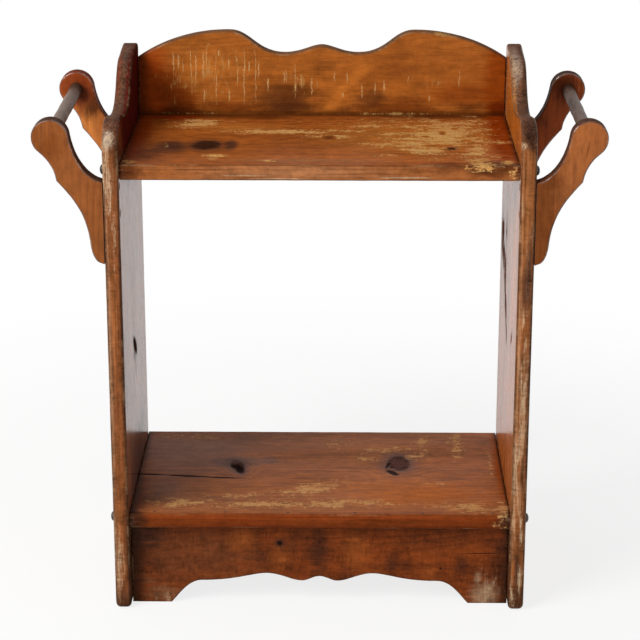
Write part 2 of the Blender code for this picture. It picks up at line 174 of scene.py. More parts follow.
def holeRings(hole, half, sides):
    # circles of a drilled hole: each pair of its profile is a radius and a depth below the face
    turn = np.linspace(0, 2 * math.pi, sides, endpoint=False)
    profile = np.array(hole["profile"], float)
    circle = np.stack([np.cos(turn), np.sin(turn)], 1)
    points = np.empty((len(profile), sides, 3))
    points[:, :, :2] = np.array(hole["centre"]) + profile[:, 0, None, None] * circle[None]
    points[:, :, 2] = hole["side"] * (half - profile[:, 1, None])
    return points


def finishedMesh(name, verts, faces, crease=edgeProfile["crease"], rims=()):
    # each group of rims is filled with one flat face, then all faces are turned outwards
    mesh = bpy.data.meshes.new(name)
    mesh.from_pydata(verts.tolist(), [], faces)
    bm = bmesh.new()
    bm.from_mesh(mesh)
    bm.verts.ensure_lookup_table()
    for loops in rims:
        rimEdges = [bm.edges.get((bm.verts[start + k], bm.verts[start + (k + 1) % count]))
                    for start, count in loops for k in range(count)]
        bmesh.ops.triangle_fill(bm, edges=rimEdges, use_beauty=True)
    bmesh.ops.recalc_face_normals(bm, faces=bm.faces)
    bm.to_mesh(mesh)
    bm.free()
    mesh.shade_smooth()
    mesh.set_sharp_from_angle(angle=math.radians(crease))
    return mesh


axisOrder = {"X": (2, 0, 1), "Y": (0, 2, 1), "Z": (0, 1, 2)}  # where u, v and thickness go


def boardMesh(name, loop, axis, low, high, arris, grain, holes=(), spacing=0.003):
    # a sawn board: the swept edge, its two flat faces, and drilled holes in the faces
    loop = evenSteps(leftTurning(np.asarray(loop, float)), spacing)
    half = (high - low) / 2
    points, marks = boardSurface(loop, half, arris(loop), grain)
    ringCount, stepCount = points.shape[:2]
    verts = [points.reshape(-1, 3)]
    faces = ringQuads(ringCount, stepCount).tolist()
    total = ringCount * stepCount
    sides = edgeProfile["holeSides"]
    rims = {1: [(0, stepCount)], -1: [(total - stepCount, stepCount)]}
    for hole in holes:
        rings = holeRings(hole, half, sides)
        faces += ringQuads(len(rings), sides, total).tolist()
        rims[hole["side"]].append((total, sides))
        total += len(rings) * sides
        faces.append(list(range(total - sides, total)))
        verts.append(rings.reshape(-1, 3))
    plain = [loops[0] for loops in rims.values() if len(loops) == 1]
    faces += [list(range(first, first + count)) for first, count in plain]
    verts = np.vstack(verts)[:, axisOrder[axis]]
    verts[:, "XYZ".index(axis)] += (low + high) / 2
    mesh = finishedMesh(name, verts, faces, rims=[loops for loops in rims.values() if len(loops) > 1])
    for title, values in marks.items():
        full = np.zeros(len(mesh.vertices), np.float32)
        full[: len(values)] = values
        mesh.attributes.new(title, "FLOAT", "POINT").data.foreach_set("value", full)
    return mesh


def putAt(points, place):
    # points turned and moved to their place
    return points @ np.array(place.to_3x3()).T + np.array(place.translation)


def turnedSurface(profile, place, sides):
    # a turned piece: each radius of the profile swept round the axis, closed by a pole at both ends
    profile = np.array(profile, float)
    turn = np.linspace(0, 2 * math.pi, sides, endpoint=False)
    middle = profile[1:-1]
    points = np.empty((len(middle), sides, 3))
    points[:, :, 0] = middle[:, 0, None] * np.cos(turn)
    points[:, :, 1] = middle[:, 0, None] * np.sin(turn)
    points[:, :, 2] = middle[:, 1, None]
    poles = np.array([[0, 0, profile[0, 1]], [0, 0, profile[-1, 1]]])
    count = len(middle) * sides
    step = np.arange(sides)
    after = (step + 1) % sides
    last = count - sides
    faces = ringQuads(len(middle), sides).tolist()
    faces += np.stack([np.full(sides, count), after, step], 1).tolist()
    faces += np.stack([np.full(sides, count + 1), last + step, last + after], 1).tolist()
    return putAt(np.vstack([points.reshape(-1, 3), poles]), place), faces


def joinedMesh(name, parts, crease=edgeProfile["crease"]):
    # several point and face lists in one mesh, each list's numbers moved past the ones before it
    verts, faces, total = [], [], 0
    for points, polygons in parts:
        verts.append(points)
        faces += [[number + total for number in polygon] for polygon in polygons]
        total += len(points)
    return finishedMesh(name, np.vstack(verts), faces, crease)


def aimed(point, direction):
    # a placement that takes +Z to the direction
    turn = Vector(direction).to_track_quat("Z", "Y").to_matrix().to_4x4()
    return Matrix.Translation(point) @ turn


def addPiece(name, mesh, finish, body="stand", stands=()):
    piece = bpy.data.objects.new(name, mesh)
    bpy.context.scene.collection.objects.link(piece)
    mesh.materials.append(finish)
    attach(piece, body)
    if stands:
        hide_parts(*stands)
    return piece


# Node helpers: most of them add a node to a finish and give back its output socket.
def addNode(tree, kind, sockets, **settings):
    node = tree.nodes.new(kind)
    for key, value in settings.items():
        setattr(node, key, value)
    for key, value in sockets.items():
        if isinstance(value, bpy.types.NodeSocket):
            tree.links.new(value, node.inputs[key])
        else:
            node.inputs[key].default_value = value
    return node


def newFinish(name):
    # a new material, its nodes, its shader and the Object coordinates
    material = bpy.data.materials.new(name)
    material.use_nodes = True
    tree = material.node_tree
    place = addNode(tree, "ShaderNodeTexCoord", {}).outputs["Object"]
    return material, tree, tree.nodes["Principled BSDF"], place


def calc(tree, operation, first, second=0.0, clamp=False):
    settings = {"operation": operation, "use_clamp": clamp}
    return addNode(tree, "ShaderNodeMath", {0: first, 1: second}, **settings).outputs[0]


def vectorCalc(tree, operation, *values):
    sockets = dict(enumerate(values))
    return addNode(tree, "ShaderNodeVectorMath", sockets, operation=operation).outputs[0]


def farness(tree, vector):
    return addNode(tree, "ShaderNodeVectorMath", {0: vector}, operation="LENGTH").outputs["Value"]


def brightened(tree, colour, factor):
    sockets = {0: colour, "Scale": factor}
    return addNode(tree, "ShaderNodeVectorMath", sockets, operation="SCALE").outputs[0]


def ramp(tree, value, low, high, outLow=0.0, outHigh=1.0):
    # smooth step of the value from one level to another
    sockets = {"Value": value, "From Min": low, "From Max": high, "To Min": outLow, "To Max": outHigh}
    return addNode(tree, "ShaderNodeMapRange", sockets, interpolation_type="SMOOTHSTEP").outputs[0]


def lay(tree, under, over, amount):
    # one colour laid over another
    under, over = ((*tone, 1.0) if isinstance(tone, tuple) else tone for tone in (under, over))
    return addNode(tree, "ShaderNodeMix", {0: amount, 6: under, 7: over}, data_type="RGBA").outputs[2]


def speckle(tree, space, scale, detail, roughness, shift=(0.0, 0.0, 0.0)):
    # noise in a stretched space, about 0.5 on average
    sockets = {"Vector": space, "Location": shift, "Scale": scale}
    vector = addNode(tree, "ShaderNodeMapping", sockets).outputs[0]
    sockets = {"Vector": vector, "Scale": 1.0, "Detail": detail, "Roughness": roughness}
    return addNode(tree, "ShaderNodeTexNoise", sockets).outputs[0]


def mark(tree, name):
    return addNode(tree, "ShaderNodeAttribute", {}, attribute_name=name).outputs["Fac"]


def bumped(tree, shader, strength, distance, height):
    sockets = {"Strength": strength, "Distance": distance, "Height": height}
    tree.links.new(addNode(tree, "ShaderNodeBump", sockets).outputs[0], shader.inputs["Normal"])


# A spot is an oval mark: its place along and across the grain, its reach along and across, its turn in
# degrees and its strength. Two more numbers, if given, are its own place and reach through the board.
def spotField(tree, space, spots, face, deep):
    # highest over all spots of their strength less the scaled distance from their middle
    field = None
    for along, across, reachAlong, reachAcross, turn, strength, *through in spots:
        depth, reach = through or (face, deep)
        middle, reaches = (along, across, depth), (reachAlong, reachAcross, reach)
        if turn:
            sockets = {"Vector": space, "Location": middle, "Scale": reaches,
                       "Rotation": (0.0, 0.0, math.radians(turn))}
            local = addNode(tree, "ShaderNodeMapping", sockets, vector_type="TEXTURE").outputs[0]
        else:  # straight spots take a lighter node, because one finish holds only so many mappings
            shrink = tuple(1 / value for value in reaches)
            back = tuple(-m * s for m, s in zip(middle, shrink))
            local = vectorCalc(tree, "MULTIPLY_ADD", space, shrink, back)
        height = calc(tree, "SUBTRACT", strength, farness(tree, local))
        field = height if field is None else calc(tree, "MAXIMUM", field, height)
    return field


def edgeSpots(edge, deep, rows):
    # spots on a sawn front edge: place and reach along it, strength, then place and reach over its width
    return [(along, edge, reach, deep, 0, strength, over, overReach)
            for along, reach, strength, over, overReach in rows]


# What every stained pine board has in common; a board's own dictionary changes it.
plainPine = {
    "order": "XYZ",                # axes along the grain, across it, and through the board
    "face": 0.0,                   # place of the marked face, through the board
    "pith": (0.0, 0.0, -0.09),     # a point on the trunk's middle line
    "lean": (0.0, 1.2, 1.6),       # degrees that this line leans from the grain
    "ringStep": 0.0043,
    "wander": 0.024,               # how far the rings wander
    "knotPush": 0.012,             # how far a knot pushes them aside
    "early": (0.36, 0.125, 0.026),
    "late": (0.16, 0.045, 0.008),
    "ringDepth": 0.30,
    "fibreDepth": 0.55,
    "bandDepth": 0.45,
    "poreTone": (0.045, 0.016, 0.007),
    "poreDepth": 0.45,
    "mottle": 1.0,                 # light and dark in lumps of 5 to 10 mm
    "craze": 0.35,                 # fine marks across the grain
    "speck": 0.7,                  # grit of 1 to 3 mm
    "strand": 1.2,                 # streaks along sawn edges
    "grimeTone": (0.055, 0.022, 0.010),
    "grimeDepth": 0.30,
    "stain": (0.10, 0.036, 0.010),
    "stainDepth": 0.5,
    "stainScale": (5.0, 16.0, 16.0),
    "knots": [],
    "knotTone": (0.022, 0.010, 0.009),
    "knotDepth": 0.92,
    "knotHalo": (0.10, 0.040, 0.020),
    "haloDepth": 0.75,
    "rindTone": (0.020, 0.008, 0.006),
    "smears": [],
    "smearTone": (0.060, 0.022, 0.008),
    "smearDepth": 0.75,
    "coats": [],                   # further colours laid over: tone, depth, share of varnish lost, spots
    "glows": [],
    "glowTone": (0.42, 0.15, 0.025),
    "glowDepth": 0.6,
    "seams": [],                   # axis number, place and reach of dirt and painted shade along a joint
    "seamTone": (0.035, 0.014, 0.007),
    "seamDepth": 0.75,
    "worn": [],
    "kept": [],                    # islands of varnish inside the worn places
    "wornTone": (0.56, 0.34, 0.13),
    "wornDepth": 0.9,
    "wornFlake": (140.0, 480.0, 480.0),
    "wornPatch": (26.0, 90.0, 90.0),
    "wornSpan": 0.9,               # how softly the worn places end
    "scratches": [],
    "scratchTone": (0.60, 0.42, 0.22),
    "scratchDepth": 0.85,
    "cracks": [],
    "crackTone": (0.012, 0.006, 0.005),
    "crackDepth": 0.95,
    "edgeTone": (0.10, 0.040, 0.014),
    "edgeDepth": 0.4,
    "endTone": (0.060, 0.036, 0.024),
    "endDepth": 0.8,
    "fleckTone": (0.30, 0.22, 0.15),
    "fleckDepth": 0.5,
    "arrisTone": (0.050, 0.022, 0.011),
    "arrisDepth": 0.55,
    # pale rubs on the arrises: wear, and painted highlights along them
    "rubAndHighlightTone": (0.42, 0.27, 0.14),
    "rubAndHighlightDepth": 0.55,
    "smearDull": 0.9,              # shares of the varnish lost
    "crackDull": 0.9,
    "edgeDull": 0.6,
    "endDull": 0.92,
    "wornDull": 0.8,
    "roughness": 0.30,
    "knotRough": 0.35,             # what knots, sawn edges and worn places add to it
    "edgeRough": 0.35,
    "wornRough": 0.3,
    "sheen": 0.18,
    "glossTone": (1.0, 1.0, 1.0),
    "arrisGloss": 0.0,             # varnish left on the arrises
    "bump": 0.4,
    "bumpHeight": 0.0006,
    "seed": 0,
    "seedStep": (1.7, 0.9, 0.37),
}
pineNoise = {  # how often each unevenness changes along, across and through, its detail and roughness
    "ragged": ((55.0, 150.0, 150.0), 4.0, 0.6),
    "fibre": ((9.0, 420.0, 420.0), 3.0, 0.6),
    "fineFibre": ((40.0, 1500.0, 1500.0), 2.0, 0.5),
    "band": ((3.5, 75.0, 75.0), 3.0, 0.55),
    "grit": ((260.0, 420.0, 420.0), 4.0, 0.7),
    "mottle": ((60.0, 130.0, 130.0), 3.0, 0.6),
    "craze": ((340.0, 90.0, 90.0), 3.0, 0.6),
    "drift": ((3.0, 13.0, 13.0), 2.0, 0.5),
    "rubbed": ((22.0, 22.0, 22.0), 5.0, 0.65),
    "bent": ((90.0, 90.0, 90.0), 1.0, 0.5),
    "broken": ((700.0, 330.0, 330.0), 3.0, 0.65),
}
markReach = {  # how far each kind of mark reaches through the board
    "knots": 0.2, "glows": 0.012, "smears": 0.012, "coats": 0.012,
    "cracks": 0.02, "worn": 0.010, "kept": 0.010, "scratches": 0.02,
}


def pineFinish(name, look):
    # stained pine: rings by distance from the trunk's middle, fibres, stain, then marks laid over in turn
    look = {**plainPine, **look}
    material, tree, shader, place = newFinish(name)
    axes = addNode(tree, "ShaderNodeSeparateXYZ", {0: place})
    ordered = {k: axes.outputs["XYZ".index(letter)] for k, letter in enumerate(look["order"])}
    space = addNode(tree, "ShaderNodeCombineXYZ", ordered).outputs[0]
    shift = tuple(step * look["seed"] for step in look["seedStep"])

    def scaled(value, amount):
        return calc(tree, "MULTIPLY", value, amount)

    def added(first, second):
        return calc(tree, "ADD", first, second)

    def less(first, second):
        return calc(tree, "SUBTRACT", first, second)

    def higher(first, second):
        return calc(tree, "MAXIMUM", first, second)

    def level(value, amount):
        return scaled(less(value, 0.5), amount)

    def fade(value, low, high, outLow=0.0, outHigh=1.0):
        return ramp(tree, value, low, high, outLow, outHigh)

    def over(under, tone, amount):
        return lay(tree, under, tone, amount)

    def noise(key):
        return speckle(tree, space, *pineNoise[key], shift)

    def spots(key):
        return spotField(tree, space, look[key], look["face"], markReach[key])

    ragged, fibre, fineFibre, band = (noise(key) for key in ("ragged", "fibre", "fineFibre", "band"))
    grit, mottle, craze = (noise(key) for key in ("grit", "mottle", "craze"))

    # growth rings, pushed aside by the knots
    sockets = {"Vector": space, "Location": look["pith"],
               "Rotation": tuple(math.radians(angle) for angle in look["lean"])}
    trunk = addNode(tree, "ShaderNodeMapping", sockets, vector_type="TEXTURE").outputs[0]
    radius = farness(tree, vectorCalc(tree, "MULTIPLY", trunk, (0.0, 1.0, 1.0)))
    drift = noise("drift")
    radius = added(radius, scaled(drift, look["wander"]))
    if look["knots"]:
        knotField = spots("knots")
        radius = added(radius, fade(knotField, -1.6, 0.6, 0.0, look["knotPush"]))
    saw = calc(tree, "FRACT", calc(tree, "DIVIDE", radius, look["ringStep"]))
    late = scaled(fade(saw, 0.35, 0.90), fade(saw, 0.93, 1.0, 1.0, 0.0))
    grainMix = added(scaled(late, look["ringDepth"]), level(fibre, 2.2 * look["fibreDepth"]))
    grainMix = added(grainMix, level(band, 2.4 * look["bandDepth"]))
    grainMix = calc(tree, "ADD", added(grainMix, 0.22), level(fineFibre, look["fibreDepth"]), True)
    colour = over(look["early"], look["late"], grainMix)
    colour = over(colour, look["poreTone"], fade(fineFibre, 0.56, 0.70, 0.0, look["poreDepth"]))

    # uneven stain, sawn edges and end grain, brighter places, darker smears, dirt in the pores, dirt and
    # painted shade along the joints
    blotch = speckle(tree, space, look["stainScale"], 4.0, 0.62, shift)
    colour = over(colour, look["stain"], fade(blotch, 0.42, 0.72, 0.0, look["stainDepth"]))
    sawn, endGrain, arris = mark(tree, "sawnEdge"), mark(tree, "endGrain"), mark(tree, "arris")
    edgeMask = scaled(sawn, fade(blotch, 0.2, 0.7, 0.85, 1.0))
    colour = over(colour, look["edgeTone"], scaled(edgeMask, look["edgeDepth"]))
    endMask = scaled(endGrain, fade(ragged, 0.25, 0.7, 0.75, 1.0))
    colour = over(colour, look["endTone"], scaled(endMask, look["endDepth"]))
    if look["glows"]:
        field = added(spots("glows"), level(ragged, 1.0))
        colour = over(colour, look["glowTone"], fade(field, -0.2, 0.9, 0.0, look["glowDepth"]))
    if look["smears"]:
        field = added(spots("smears"), level(blotch, 1.1))
        field = added(field, added(level(ragged, 0.9), level(fibre, 0.7)))
        smeared = fade(field, -0.15, 0.85, 0.0, look["smearDepth"])
        colour = over(colour, look["smearTone"], smeared)
    lost = []
    for tone, depth, share, places in look["coats"]:
        field = spotField(tree, space, places, look["face"], markReach["coats"])
        field = added(field, added(level(ragged, 0.9), level(fibre, 0.7)))
        coat = fade(field, -0.15, 0.8, 0.0, depth)
        colour = over(colour, tone, coat)
        lost.append(scaled(coat, share))
    colour = over(colour, look["grimeTone"], fade(grit, 0.48, 0.74, 0.0, look["grimeDepth"]))
    # dirt and painted shade along the joints: darker the nearer the line, on the marked face only
    if look["seams"]:
        through = calc(tree, "ABSOLUTE", less(ordered[2], look["face"]))
        facing = fade(through, 0.008, 0.018, 1.0, 0.0)
    for axis, where, reach in look["seams"]:
        gap = calc(tree, "ABSOLUTE", less(ordered[axis], where))
        near = fade(gap, 0.0, reach, 1.0, 0.0)
        dirtAndShade = fade(added(near, level(ragged, 0.5)), 0.15, 0.95, 0.0, look["seamDepth"])
        colour = over(colour, look["seamTone"], scaled(scaled(dirtAndShade, near), facing))

    # roughness, lost varnish and height so far
    rough = added(look["roughness"], level(ragged, 0.14))
    dull = added(fade(grit, 0.45, 0.75, 0.0, 0.2), fade(blotch, 0.35, 0.75, 0.0, 0.35))
    dull = added(dull, fade(drift, 0.40, 0.65, 0.0, 0.25))
    if look["smears"]:
        lost.append(scaled(smeared, look["smearDull"]))
    for share in lost:
        dull = higher(dull, share)
    height = added(scaled(fibre, 0.5), scaled(fineFibre, 0.25))
    height = less(height, scaled(late, 0.35))

    # knots with a halo, fine rings and a dark rind, then cracks
    if look["knots"]:
        halo = fade(added(knotField, level(ragged, 0.6)), -0.75, 0.25)
        colour = over(colour, look["knotHalo"], scaled(halo, look["haloDepth"]))
        core = fade(added(knotField, level(ragged, 0.5)), 0.0, 0.45)
        colour = over(colour, look["knotTone"], scaled(core, look["knotDepth"]))
        wave = calc(tree, "SINE", added(scaled(knotField, 34.0), scaled(ragged, 9.0)))
        colour = brightened(tree, colour, added(scaled(core, scaled(wave, 0.18)), 1.0))
        rind = scaled(fade(knotField, 0.0, 0.22), fade(knotField, 0.22, 0.45, 1.0, 0.0))
        colour = over(colour, look["rindTone"], scaled(rind, fade(ragged, 0.35, 0.6, 0.2, 0.8)))
        rough = added(rough, scaled(core, look["knotRough"]))
        dull = higher(dull, core)
    if look["cracks"]:
        crack = fade(added(spots("cracks"), level(ragged, 0.5)), 0.0, 0.5)
        colour = over(colour, look["crackTone"], scaled(crack, look["crackDepth"]))
        height = less(height, scaled(crack, 2.0))
        dull = higher(dull, scaled(crack, look["crackDull"]))

    # dark arrises, pale end-grain flecks, pale arris rubs that are partly painted highlights, and unevenness
    # at every scale
    colour = over(colour, look["arrisTone"], scaled(arris, look["arrisDepth"]))
    fleck = scaled(endGrain, fade(grit, 0.50, 0.66))
    colour = over(colour, look["fleckTone"], scaled(fleck, look["fleckDepth"]))
    rubbed = noise("rubbed")
    # pale patches on the arrises: rubbed wear, and painted highlight
    rubAndHighlight = scaled(arris, fade(added(rubbed, level(grit, 0.3)), 0.50, 0.66))
    colour = over(colour, look["rubAndHighlightTone"], scaled(rubAndHighlight, look["rubAndHighlightDepth"]))
    patchy = scaled(level(craze, 1.0), fade(ragged, 0.35, 0.70, 0.0, 2.0))
    fine = added(scaled(patchy, look["craze"]), level(grit, look["speck"]))
    shade = added(level(mottle, look["mottle"]), fine)
    shade = added(shade, scaled(sawn, level(fibre, look["strand"])))
    colour = brightened(tree, colour, higher(added(shade, 1.0), 0.4))
    dull = higher(dull, scaled(sawn, look["edgeDull"]))
    dull = higher(dull, scaled(endGrain, look["endDull"]))
    bare = higher(scaled(sawn, look["edgeDull"]), endGrain)
    rough = added(rough, scaled(bare, look["edgeRough"]))

    # varnish worn through to pale wood: ragged patches made of small flakes along the grain
    if look["worn"]:
        patch = speckle(tree, space, look["wornPatch"], 3.0, 0.6, shift)
        flake = speckle(tree, space, look["wornFlake"], 4.0, 0.65, shift)
        loose = added(added(level(patch, 3.6), level(flake, 3.2)), level(craze, 1.2))
        field = added(spots("worn"), loose)
        if look["kept"]:
            left = added(spots("kept"), level(flake, 2.0))
            field = less(field, fade(left, 0.0, 0.5, 0.0, 1.4))
        worn = scaled(fade(field, -0.1, look["wornSpan"]), fade(grit, 0.30, 0.60, 0.6, 1.0))
        wornTone = over(look["wornTone"], look["early"], fade(fibre, 0.45, 0.80, 0.0, 0.8))
        colour = over(colour, wornTone, scaled(worn, look["wornDepth"]))
        rough = added(rough, scaled(worn, look["wornRough"]))
        dull = higher(dull, scaled(worn, look["wornDull"]))
        height = less(height, scaled(worn, 0.5))
    if look["scratches"]:
        offset = addNode(tree, "ShaderNodeCombineXYZ", {0: level(noise("bent"), 0.004)}).outputs[0]
        bentSpace = vectorCalc(tree, "ADD", space, offset)
        field = spotField(tree, bentSpace, look["scratches"], look["face"], markReach["scratches"])
        scratch = scaled(fade(field, 0.0, 0.5), fade(noise("broken"), 0.35, 0.57))
        colour = over(colour, look["scratchTone"], scaled(scratch, look["scratchDepth"]))
        height = less(height, scaled(scratch, 0.8))

    gloss = scaled(calc(tree, "SUBTRACT", 1.0, dull, True), look["sheen"])
    if look["arrisGloss"]:
        lit = scaled(arris, fade(rubbed, 0.32, 0.52))
        gloss = added(gloss, scaled(lit, look["arrisGloss"]))
        rough = higher(less(rough, scaled(lit, 0.4)), 0.16)
    shader.inputs["Specular Tint"].default_value = (*look["glossTone"], 1.0)
    tree.links.new(colour, shader.inputs["Base Color"])
    tree.links.new(rough, shader.inputs["Roughness"])
    tree.links.new(gloss, shader.inputs["Specular IOR Level"])
    bumped(tree, shader, look["bump"], look["bumpHeight"], height)
    return material


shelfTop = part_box("top_shelf")[1].z
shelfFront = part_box("top_shelf")[0].y
panelLow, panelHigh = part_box("right_side_panel")
boardThick = panelHigh.x - panelLow.x
panelFront = panelLow.y

# Lines that marks, dirt and painted shade follow.
innerFace = 0.2349                 # inner faces of the panels
endSeam = 0.2346                   # where shelves, splash back and apron meet the panels
splashSeam = 0.1235                # foot of the splash back
apronSeam = 0.1076                 # top of the apron
lowerTop = 0.127                   # top of the lower shelf

# Countersinks of the arm screws and the splash screws.
sinkShape = {"mouth": 0.0049, "lip": 0.0011, "shank": 0.0024, "cone": 0.0038, "depth": 0.006}


def screwHoles(side, centres):
    # a straight lip, a cone down to the shank's width, and a short straight end
    mouth, shank = sinkShape["mouth"], sinkShape["shank"]
    profile = [(mouth, 0), (mouth, sinkShape["lip"]), (shank, sinkShape["cone"]), (shank, sinkShape["depth"])]
    return [{"side": side, "centre": centre, "profile": profile} for centre in centres]


# Side panels: the outline in depth and height, from the CAD's own curves.
panelShape = {
    "shoulderRise": 0.019, "shoulderPull": 0.008,
    "crestRise": 0.048, "crestIn": 0.040, "crestPull": 0.020,
    "dipRise": 0.037, "dipIn": 0.120, "dipPull": 0.028,
    "hornRise": 0.0905, "hornFall": 0.006, "hornFlat": 0.064, "sweepIn": 0.106, "sweepSteps": 30,
    "footRound": 0.008, "hornRound": 0.008,
    "arris": 0.0032, "arrisSeed": 11, "footArris": 0.0022, "footHeight": 0.012,
    "screwDrops": (0.027, 0.060),
}


def panelOutline(shape):
    # foot, horn, sweep, dip, crest and shoulder joined by straight edges and cubic curves
    front, back = panelLow.y, panelHigh.y
    shoulder = (front, shelfTop + shape["shoulderRise"])
    crest = (front + shape["crestIn"], shelfTop + shape["crestRise"])
    dip = (front + shape["dipIn"], shelfTop + shape["dipRise"])
    hornTop = shelfTop + shape["hornRise"]
    horn = (back - shape["hornFlat"], hornTop - shape["hornFall"])
    slope = np.array([-shape["hornFlat"], -shape["hornFall"]])
    sweep = back - shape["sweepIn"]
    return np.vstack([
        cornerRun((front, 0), (0, -1), (1, 0), shape["footRound"]),
        cornerRun((back, 0), (1, 0), (0, 1), shape["footRound"]),
        cornerRun((back, hornTop), (0, 1), slope / np.linalg.norm(slope), shape["hornRound"]),
        bezierRun(horn, (sweep, horn[1]), (sweep, dip[1]), dip, shape["sweepSteps"]),
        bezierRun(dip, (dip[0] - shape["dipPull"], dip[1]), (crest[0] + shape["crestPull"], crest[1]), crest),
        bezierRun(crest, (crest[0] - shape["crestPull"], crest[1]),
                  (front, shoulder[1] + shape["shoulderPull"]), shoulder),
        [shoulder],
    ])


panelPine = {
    "order": "ZYX", "roughness": 0.22, "sheen": 0.16, "edgeDepth": 0.85, "edgeDull": 0.8,
    "early": (0.52, 0.155, 0.036), "late": (0.22, 0.058, 0.014), "smearTone": (0.038, 0.016, 0.010),
    "wornFlake": (90.0, 800.0, 800.0), "wornPatch": (22.0, 240.0, 240.0), "wornTone": (0.58, 0.42, 0.26),
    "wornDepth": 0.85, "wornSpan": 1.3, "glowDepth": 0.7, "arrisDepth": 0.75, "rubAndHighlightDepth": 0.4,
    "endTone": (0.060, 0.034, 0.026), "fleckTone": (0.24, 0.165, 0.12), "fleckDepth": 0.28, "mottle": 1.4,
    "craze": 1.0, "speck": 1.0, "strand": 2.0,
}
leftPanelLook = {
    **panelPine, "face": -innerFace, "pith": (0.3, 0.03, -0.36), "lean": (0.0, 0.5, 0.8), "seed": 3,
    "edgeTone": (0.165, 0.055, 0.019), "early": (0.42, 0.125, 0.030), "late": (0.18, 0.047, 0.012),
    "knotTone": (0.034, 0.014, 0.010), "glossTone": (1.0, 0.97, 0.95), "glowTone": (0.22, 0.035, 0.013),
    "knots": [(0.3006, -0.004, 0.036, 0.011, -55, 1.0)],
    "worn": edgeSpots(panelFront, 0.008, [  # rubbed flakes down the front edge
        (0.562, 0.040, 1.15, -0.2490, 0.0060), (0.545, 0.032, 0.70, -0.2455, 0.0040),
        (0.482, 0.050, 0.65, -0.2418, 0.0040), (0.058, 0.038, 0.68, -0.2480, 0.0060),
    ]) + [
        (0.600, panelFront + 0.004, 0.010, 0.010, 0, 0.70, -0.2440, 0.0080),
    ],
    "coats": [
        ((0.33, 0.165, 0.085), 0.7, 0.9, edgeSpots(panelFront, 0.020, [
            (0.330, 0.260, 1.0, -0.2512, 0.0040), (0.060, 0.050, 1.1, -0.2500, 0.0050),
        ])),
        ((0.33, 0.112, 0.033), 0.6, 0.9, edgeSpots(panelFront, 0.020, [
            (0.390, 0.080, 1.0, -0.2450, 0.0045), (0.100, 0.050, 0.8, -0.2450, 0.0045),
        ])),
        # painted shade down the inner side of the front edge, the side turned away from the light
        ((0.080, 0.026, 0.010), 0.8, 0.9, edgeSpots(panelFront, 0.020, [
            (0.330, 0.300, 0.9, -0.2360, 0.0036), (0.090, 0.080, 1.2, -0.2365, 0.0050),
        ]) + [
            (0.590, panelFront, 0.030, 0.030, 0, 1.3, -0.2370, 0.0045),
        ]),
        # painted shade low on the inner face, which faces away from the light
        ((0.054, 0.018, 0.010), 0.8, 1.0, [(0.150, 0.000, 0.070, 0.150, 0, 1.0)]),
        ((0.16, 0.080, 0.060), 0.8, 1.2, [
            (0.292, -0.012, 0.030, 0.020, -55, 1.0), (0.285, 0.016, 0.014, 0.010, 0, 0.9),
            (0.268, -0.002, 0.022, 0.012, 0, 0.9),
        ]),
        # painted shade on the inner face above the top shelf
        ((0.090, 0.0105, 0.006), 1.0, 1.3, [(0.606, 0.040, 0.070, 0.130, 0, 1.6, -innerFace, 0.0050)]),
        ((0.50, 0.39, 0.28), 0.7, 0.9, [
            (0.600, panelFront + 0.004, 0.014, 0.014, 0, 1.1, -0.2475, 0.0080),
        ]),
        ((0.060, 0.023, 0.011), 0.9, 1.3, [(0.040, -0.131, 0.080, 0.020, 0, 1.3, -innerFace, 0.0030)]),
        ((0.150, 0.090, 0.075), 0.7, 0.9, [
            (0.480, 0.137, 0.110, 0.009, 0, 1.0), (0.250, 0.127, 0.050, 0.010, 0, 0.8),
        ]),
        ((0.160, 0.085, 0.070), 0.55, 0.9, [
            (0.284, -0.101, 0.030, 0.012, 0, 0.8), (0.262, -0.030, 0.030, 0.020, 0, 0.7),
            (0.406, 0.061, 0.008, 0.012, 0, 0.8), (0.300, 0.045, 0.016, 0.020, 0, 0.6),
        ]),
    ],
    "smears": [
        # the first two smears are painted shade on the inner face above the top shelf
        (0.640, 0.060, 0.060, 0.080, 0, 1.3, -0.2372, 0.0065),
        (0.612, -0.100, 0.016, 0.050, 0, 1.0, -0.2380, 0.0060),
        (-0.004, panelFront, 0.040, 0.030, 0, 1.2, -0.2445, 0.016),
    ],
    "glows": [(0.635, 0.055, 0.055, 0.055, 0, 1.1, -0.2530, 0.0050)],
}
